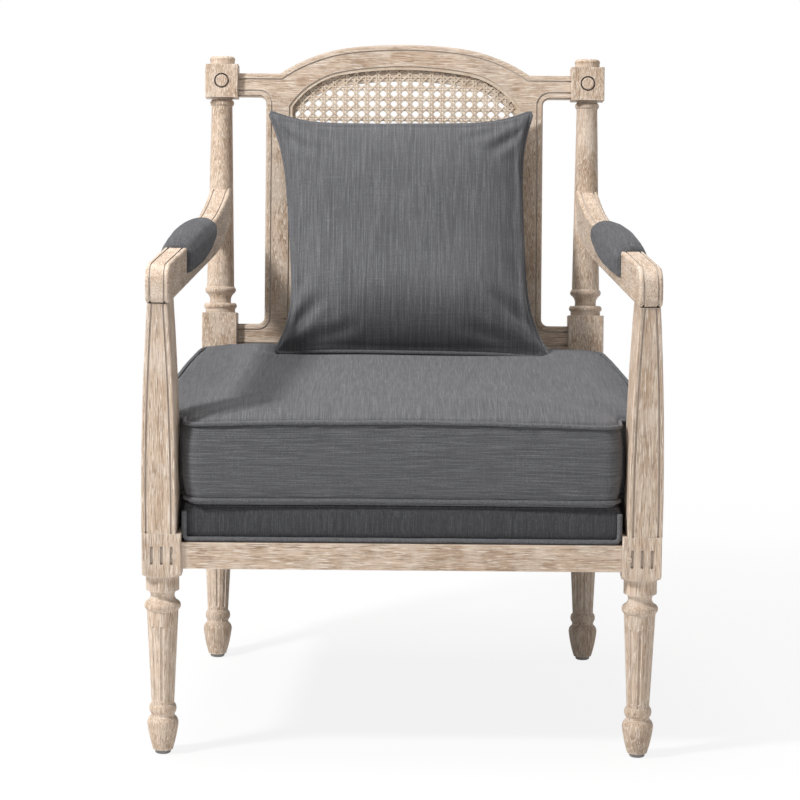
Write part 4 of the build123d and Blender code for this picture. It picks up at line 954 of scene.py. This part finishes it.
# Lining cloths under and inside the seat
def cloth_panel(name, outline, z, sag, thick):
    """Stretched cloth with a slight sag, from its outline in millimetres, and its area in m2."""
    outline = np.array(outline, float)
    bm = bmesh.new()
    ring = [bm.verts.new(placed([(x, y, z)])[0]) for x, y in outline]
    bm.faces.new(ring)
    bmesh.ops.triangulate(bm, faces=bm.faces)
    bmesh.ops.subdivide_edges(bm, edges=bm.edges, cuts=7, use_grid_fill=True)
    low, high = outline.min(axis=0), outline.max(axis=0)
    for vert in bm.verts:
        x, y = vert.co.x * 1000, vert.co.y * 1000 - SHIFT_Y
        across = 1 - (2 * (x - low[0]) / (high[0] - low[0]) - 1) ** 2
        along = 1 - (2 * (y - low[1]) / (high[1] - low[1]) - 1) ** 2
        vert.co.z -= sag * max(across, 0) * max(along, 0) / 1000
    area = sum(face.calc_area() for face in bm.faces)
    mesh = bpy.data.meshes.new(name)
    bm.to_mesh(mesh)
    bm.free()
    obj = bpy.data.objects.new(name, mesh)
    scene.collection.objects.link(obj)
    mod = obj.modifiers.new("cloth thickness", "SOLIDIFY")
    mod.thickness = thick / 1000
    mod.offset = 0
    for face in mesh.polygons:
        face.use_smooth = True
    return obj, area


def mirrored(half):
    return list(half) + [(-x, y) for x, y in reversed(half)]


UNDER = mirrored(((271, -10), (271, 39), (312, 39), (273.5, 537.8), (227, 537.8), (227, 574)))
under_cloth, under_area = cloth_panel("under_cloth", UNDER, 245.4, 2.0, 0.8)
coat(under_cloth, lining("lining_black", (0.018, 0.018, 0.019)))
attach(under_cloth, "frame")
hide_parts("dust_cover")

sheet_low, sheet_high = [np.array(c) * 1000 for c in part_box("spring_sheet")]
sheet_side, sheet_middle = sheet_high[0], (sheet_low[2] + sheet_high[2]) / 2
sheet_front, sheet_rear = sheet_low[1] - SHIFT_Y + 1, sheet_high[1] - SHIFT_Y - 1
WELL = mirrored(((sheet_side - 30, sheet_front), (sheet_side - 30, sheet_front + 40),
                 (sheet_side - 12, sheet_front + 60), (sheet_side - 46, sheet_rear - 40),
                 (225, sheet_rear)))
spring_cloth, spring_area = cloth_panel("spring_cloth", WELL, sheet_middle, 0.5, 1.0)
coat(spring_cloth, lining("lining_hessian", (0.20, 0.145, 0.085)))
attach(spring_cloth, "frame")
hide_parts("spring_sheet")


# Woven cane in the plane of the back: across and up, in millimetres
OPENING_HALF, OPENING_BOTTOM, OPENING_SPRING, OPENING_TOP = 165.0, 482.0, 787.0, 845.0
CROWN_RADIUS, CROWN_JOIN = 500.0, 90.0
CANE_MIDDLE = -4.8
PITCH_X, PITCH_Y = 15.4, 14.4
STRAND_WIDTH, STRAND_THICK, PAIR_HALF = 2.6, 0.5, 1.75
STRAND_SECTION = ((-1, 0.5), (1, 0.5), (1, -0.2), (0.5, -0.5), (-0.5, -0.5), (-1, -0.2))
PAIR_WAVE, CROSS_WAVE = 0.5, 0.72
WEAVE_MIDDLE, WEAVE_STEP, SLANT_STEP = 662.0, 2.2, 0.16
COLUMNS, ROWS, SLANTS, SLANT_REACH = 12, 14, 27, 14
CANE_HIDDEN = 2.0


def arch_height(x):
    """Height of the opening's arch at a place across it."""
    x = abs(x)
    drop = CROWN_RADIUS - sqrt(CROWN_RADIUS ** 2 - CROWN_JOIN ** 2)
    if x <= CROWN_JOIN:
        return OPENING_TOP - CROWN_RADIUS + sqrt(CROWN_RADIUS ** 2 - x * x)
    normal = (CROWN_JOIN / CROWN_RADIUS, sqrt(1 - (CROWN_JOIN / CROWN_RADIUS) ** 2))
    run = (OPENING_HALF - CROWN_JOIN, OPENING_SPRING - (OPENING_TOP - drop))
    haunch = -(run[0] ** 2 + run[1] ** 2) / (2 * (run[0] * normal[0] + run[1] * normal[1]))
    centre = (CROWN_JOIN - haunch * normal[0], OPENING_TOP - drop - haunch * normal[1])
    return centre[1] + sqrt(max(0.0, haunch ** 2 - (x - centre[0]) ** 2))


def in_opening(x, z):
    if abs(x) > OPENING_HALF - CANE_HIDDEN or z < OPENING_BOTTOM + CANE_HIDDEN:
        return False
    return z < arch_height(x) - CANE_HIDDEN


def pair_wave(at, pitch):
    """Depth of a paired strand: over one strand of a crossing pair, under the other, else level."""
    place = at / pitch - 0.5
    gap = (place - round(place)) * pitch
    return -PAIR_WAVE * sin(pi * gap / (2 * PAIR_HALF)) if abs(gap) < 2 * PAIR_HALF else 0.0


def back_place(x, y, z):
    c, s = cos(RAKE), sin(RAKE)
    return (x, REAR_FOOT_Y + y * c + z * s, -y * s + z * c)


def strand(line):
    """Flat strand along points (across, up, depth)."""
    line = np.array(line)
    along = np.gradient(line[:, :2], axis=0)
    along /= np.linalg.norm(along, axis=1)[:, None]
    side = np.column_stack([along[:, 1], -along[:, 0]]) * STRAND_WIDTH / 2
    count = len(STRAND_SECTION)
    points, faces = [], []
    for (x, z, deep), (sx, sz) in zip(line, side):
        for w, t in STRAND_SECTION:
            points.append(back_place(x + w * sx, CANE_MIDDLE + deep + t * STRAND_THICK, z + w * sz))
    for a in range(0, count * (len(line) - 1), count):
        for k in range(count):
            n = (k + 1) % count
            faces.append((a + k, a + n, a + count + n, a + count + k))
    faces.append(tuple(range(count))[::-1])
    faces.append(tuple(range(count * (len(line) - 1), count * len(line))))
    return points, faces


def runs_inside(line):
    """Stretches of a line that lie in the opening."""
    out, now = [], []
    for p in line:
        if in_opening(p[0], p[1]):
            now.append(p)
        elif now:
            out.append(now)
            now = []
    if now:
        out.append(now)
    return [run for run in out if len(run) > 2]


def woven():
    """Strands of the six-way weave: upright pairs, level pairs and single strands on two slants."""
    lines = []
    for i in range(-COLUMNS, COLUMNS):
        for side in (-1, 1):
            x = (i + 0.5) * PITCH_X + side * PAIR_HALF
            lines.append([(x, z, side * pair_wave(z - WEAVE_MIDDLE, PITCH_Y))
                          for z in np.arange(OPENING_BOTTOM, OPENING_TOP, WEAVE_STEP)])
    for j in range(-ROWS, ROWS):
        for side in (-1, 1):
            z = WEAVE_MIDDLE + (j + 0.5) * PITCH_Y + side * PAIR_HALF
            lines.append([(x, z, -side * pair_wave(x, PITCH_X))
                          for x in np.arange(-OPENING_HALF, OPENING_HALF, WEAVE_STEP)])
    for way in (-1, 1):
        for k in range(-SLANTS, SLANTS):
            lines.append([(u * PITCH_X, WEAVE_MIDDLE + way * (u - k - 0.5) * PITCH_Y,
                           way * CROSS_WAVE * cos(2 * pi * (u - 0.5)))
                          for u in np.arange(-SLANT_REACH, SLANT_REACH, SLANT_STEP)])
    return [strand(run) for line in lines for run in runs_inside(line)]


cane = joined("woven_cane", woven())
coat(cane, CANE)
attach(cane, "frame")
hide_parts("cane_panel")


# Floor, light and camera
FLOOR_REACH = 40
FLOOR_NEAR, FLOOR_FAR, FLOOR_GLOW = 0.7, 1.8, 0.87
WORLD_LIGHT = 0.22


def looked_at(tree):
    """One where a surface is seen by camera, mirror or glass, nought where it only sends light."""
    path = node(tree, "ShaderNodeLightPath")
    seen = maths(tree, "MAXIMUM", path.outputs["Is Camera Ray"], path.outputs["Is Glossy Ray"])
    return maths(tree, "MAXIMUM", seen, path.outputs["Is Transmission Ray"])


def pale_floor(name):
    """Matt pale floor that keeps a light shadow near the chair and is plain white further off."""
    made, tree, shader = material(name)
    finished(tree, shader, {"Base Color": colour(0.9, 0.9, 0.9), "Roughness": 0.9,
                            "Specular IOR Level": 0.1})
    where = node(tree, "ShaderNodeTexCoord").outputs["Object"]
    away = node(tree, "ShaderNodeVectorMath", {0: where}, operation="LENGTH").outputs["Value"]
    white = ranged(tree, away, FLOOR_NEAR, FLOOR_FAR, FLOOR_GLOW, 1.0)
    share = maths(tree, "MULTIPLY", looked_at(tree), white)
    glow = node(tree, "ShaderNodeEmission", {"Color": colour(1.0, 1.0, 1.0), "Strength": 1.0})
    both = node(tree, "ShaderNodeMixShader", {0: share, 1: shader.outputs[0], 2: glow.outputs[0]})
    feed(tree, tree.nodes["Material Output"].inputs["Surface"], both.outputs[0])
    return made


floor_corners = [(x * FLOOR_REACH, y * FLOOR_REACH, 0)
                 for x, y in ((-1, -1), (1, -1), (1, 1), (-1, 1))]
floor = piece("studio_floor", floor_corners, [(0, 1, 2, 3)], False)
coat(floor, pale_floor("studio_floor"))

world = bpy.data.worlds.new("studio")
world.use_nodes = True
world_tree = world.node_tree
finished(world_tree, world_tree.nodes["Background"], {
    "Color": colour(1.0, 1.0, 1.0),
    "Strength": ranged(world_tree, looked_at(world_tree), 0.0, 1.0, WORLD_LIGHT, 1.0)})
scene.world = world


def soft_light(name, place, target, size, power):
    data = bpy.data.lights.new(name, "AREA")
    data.shape = "DISK"
    data.size = size
    data.energy = power
    lamp = bpy.data.objects.new(name, data)
    scene.collection.objects.link(lamp)
    lamp.location = place
    lamp.rotation_euler = (Vector(target) - Vector(place)).to_track_quat("-Z", "Y").to_euler()


soft_light("key", place=(-2.5, -1.75, 3.5), target=(0, 0, 0.45), size=0.6, power=172)
soft_light("top", place=(-0.4, 0.3, 3.7), target=(0, 0, 0.5), size=1.8, power=62)
soft_light("fill", place=(2.6, -3.4, 2.2), target=(0, 0, 0.4), size=2.5, power=15)

# Camera fitted to the photograph: angles in radians, place in the layout in millimetres
PITCH, YAW, ROLL = 0.167672305, 0.001507607, 0.008681975
CAMERA_PLACE = (-10.662581, -4495.081723, 1223.263538)
FOCAL_PIXELS, IMAGE_PIXELS, SENSOR = 3601.105622, 800, 36.0
forward = Vector((sin(YAW) * cos(PITCH), cos(YAW) * cos(PITCH), -sin(PITCH)))
right = Vector((cos(YAW), -sin(YAW), 0))
up = right.cross(forward)
axis_x = cos(ROLL) * right + sin(ROLL) * up
axis_y = -sin(ROLL) * right + cos(ROLL) * up
camera_data = bpy.data.cameras.new("camera")
camera_data.sensor_width = SENSOR
camera_data.lens = FOCAL_PIXELS / IMAGE_PIXELS * SENSOR
camera = bpy.data.objects.new("camera", camera_data)
scene.collection.objects.link(camera)
turn = Matrix((axis_x, axis_y, -forward)).transposed().to_4x4()
camera.matrix_world = Matrix.Translation(placed([CAMERA_PLACE])[0]) @ turn
scene.camera = camera
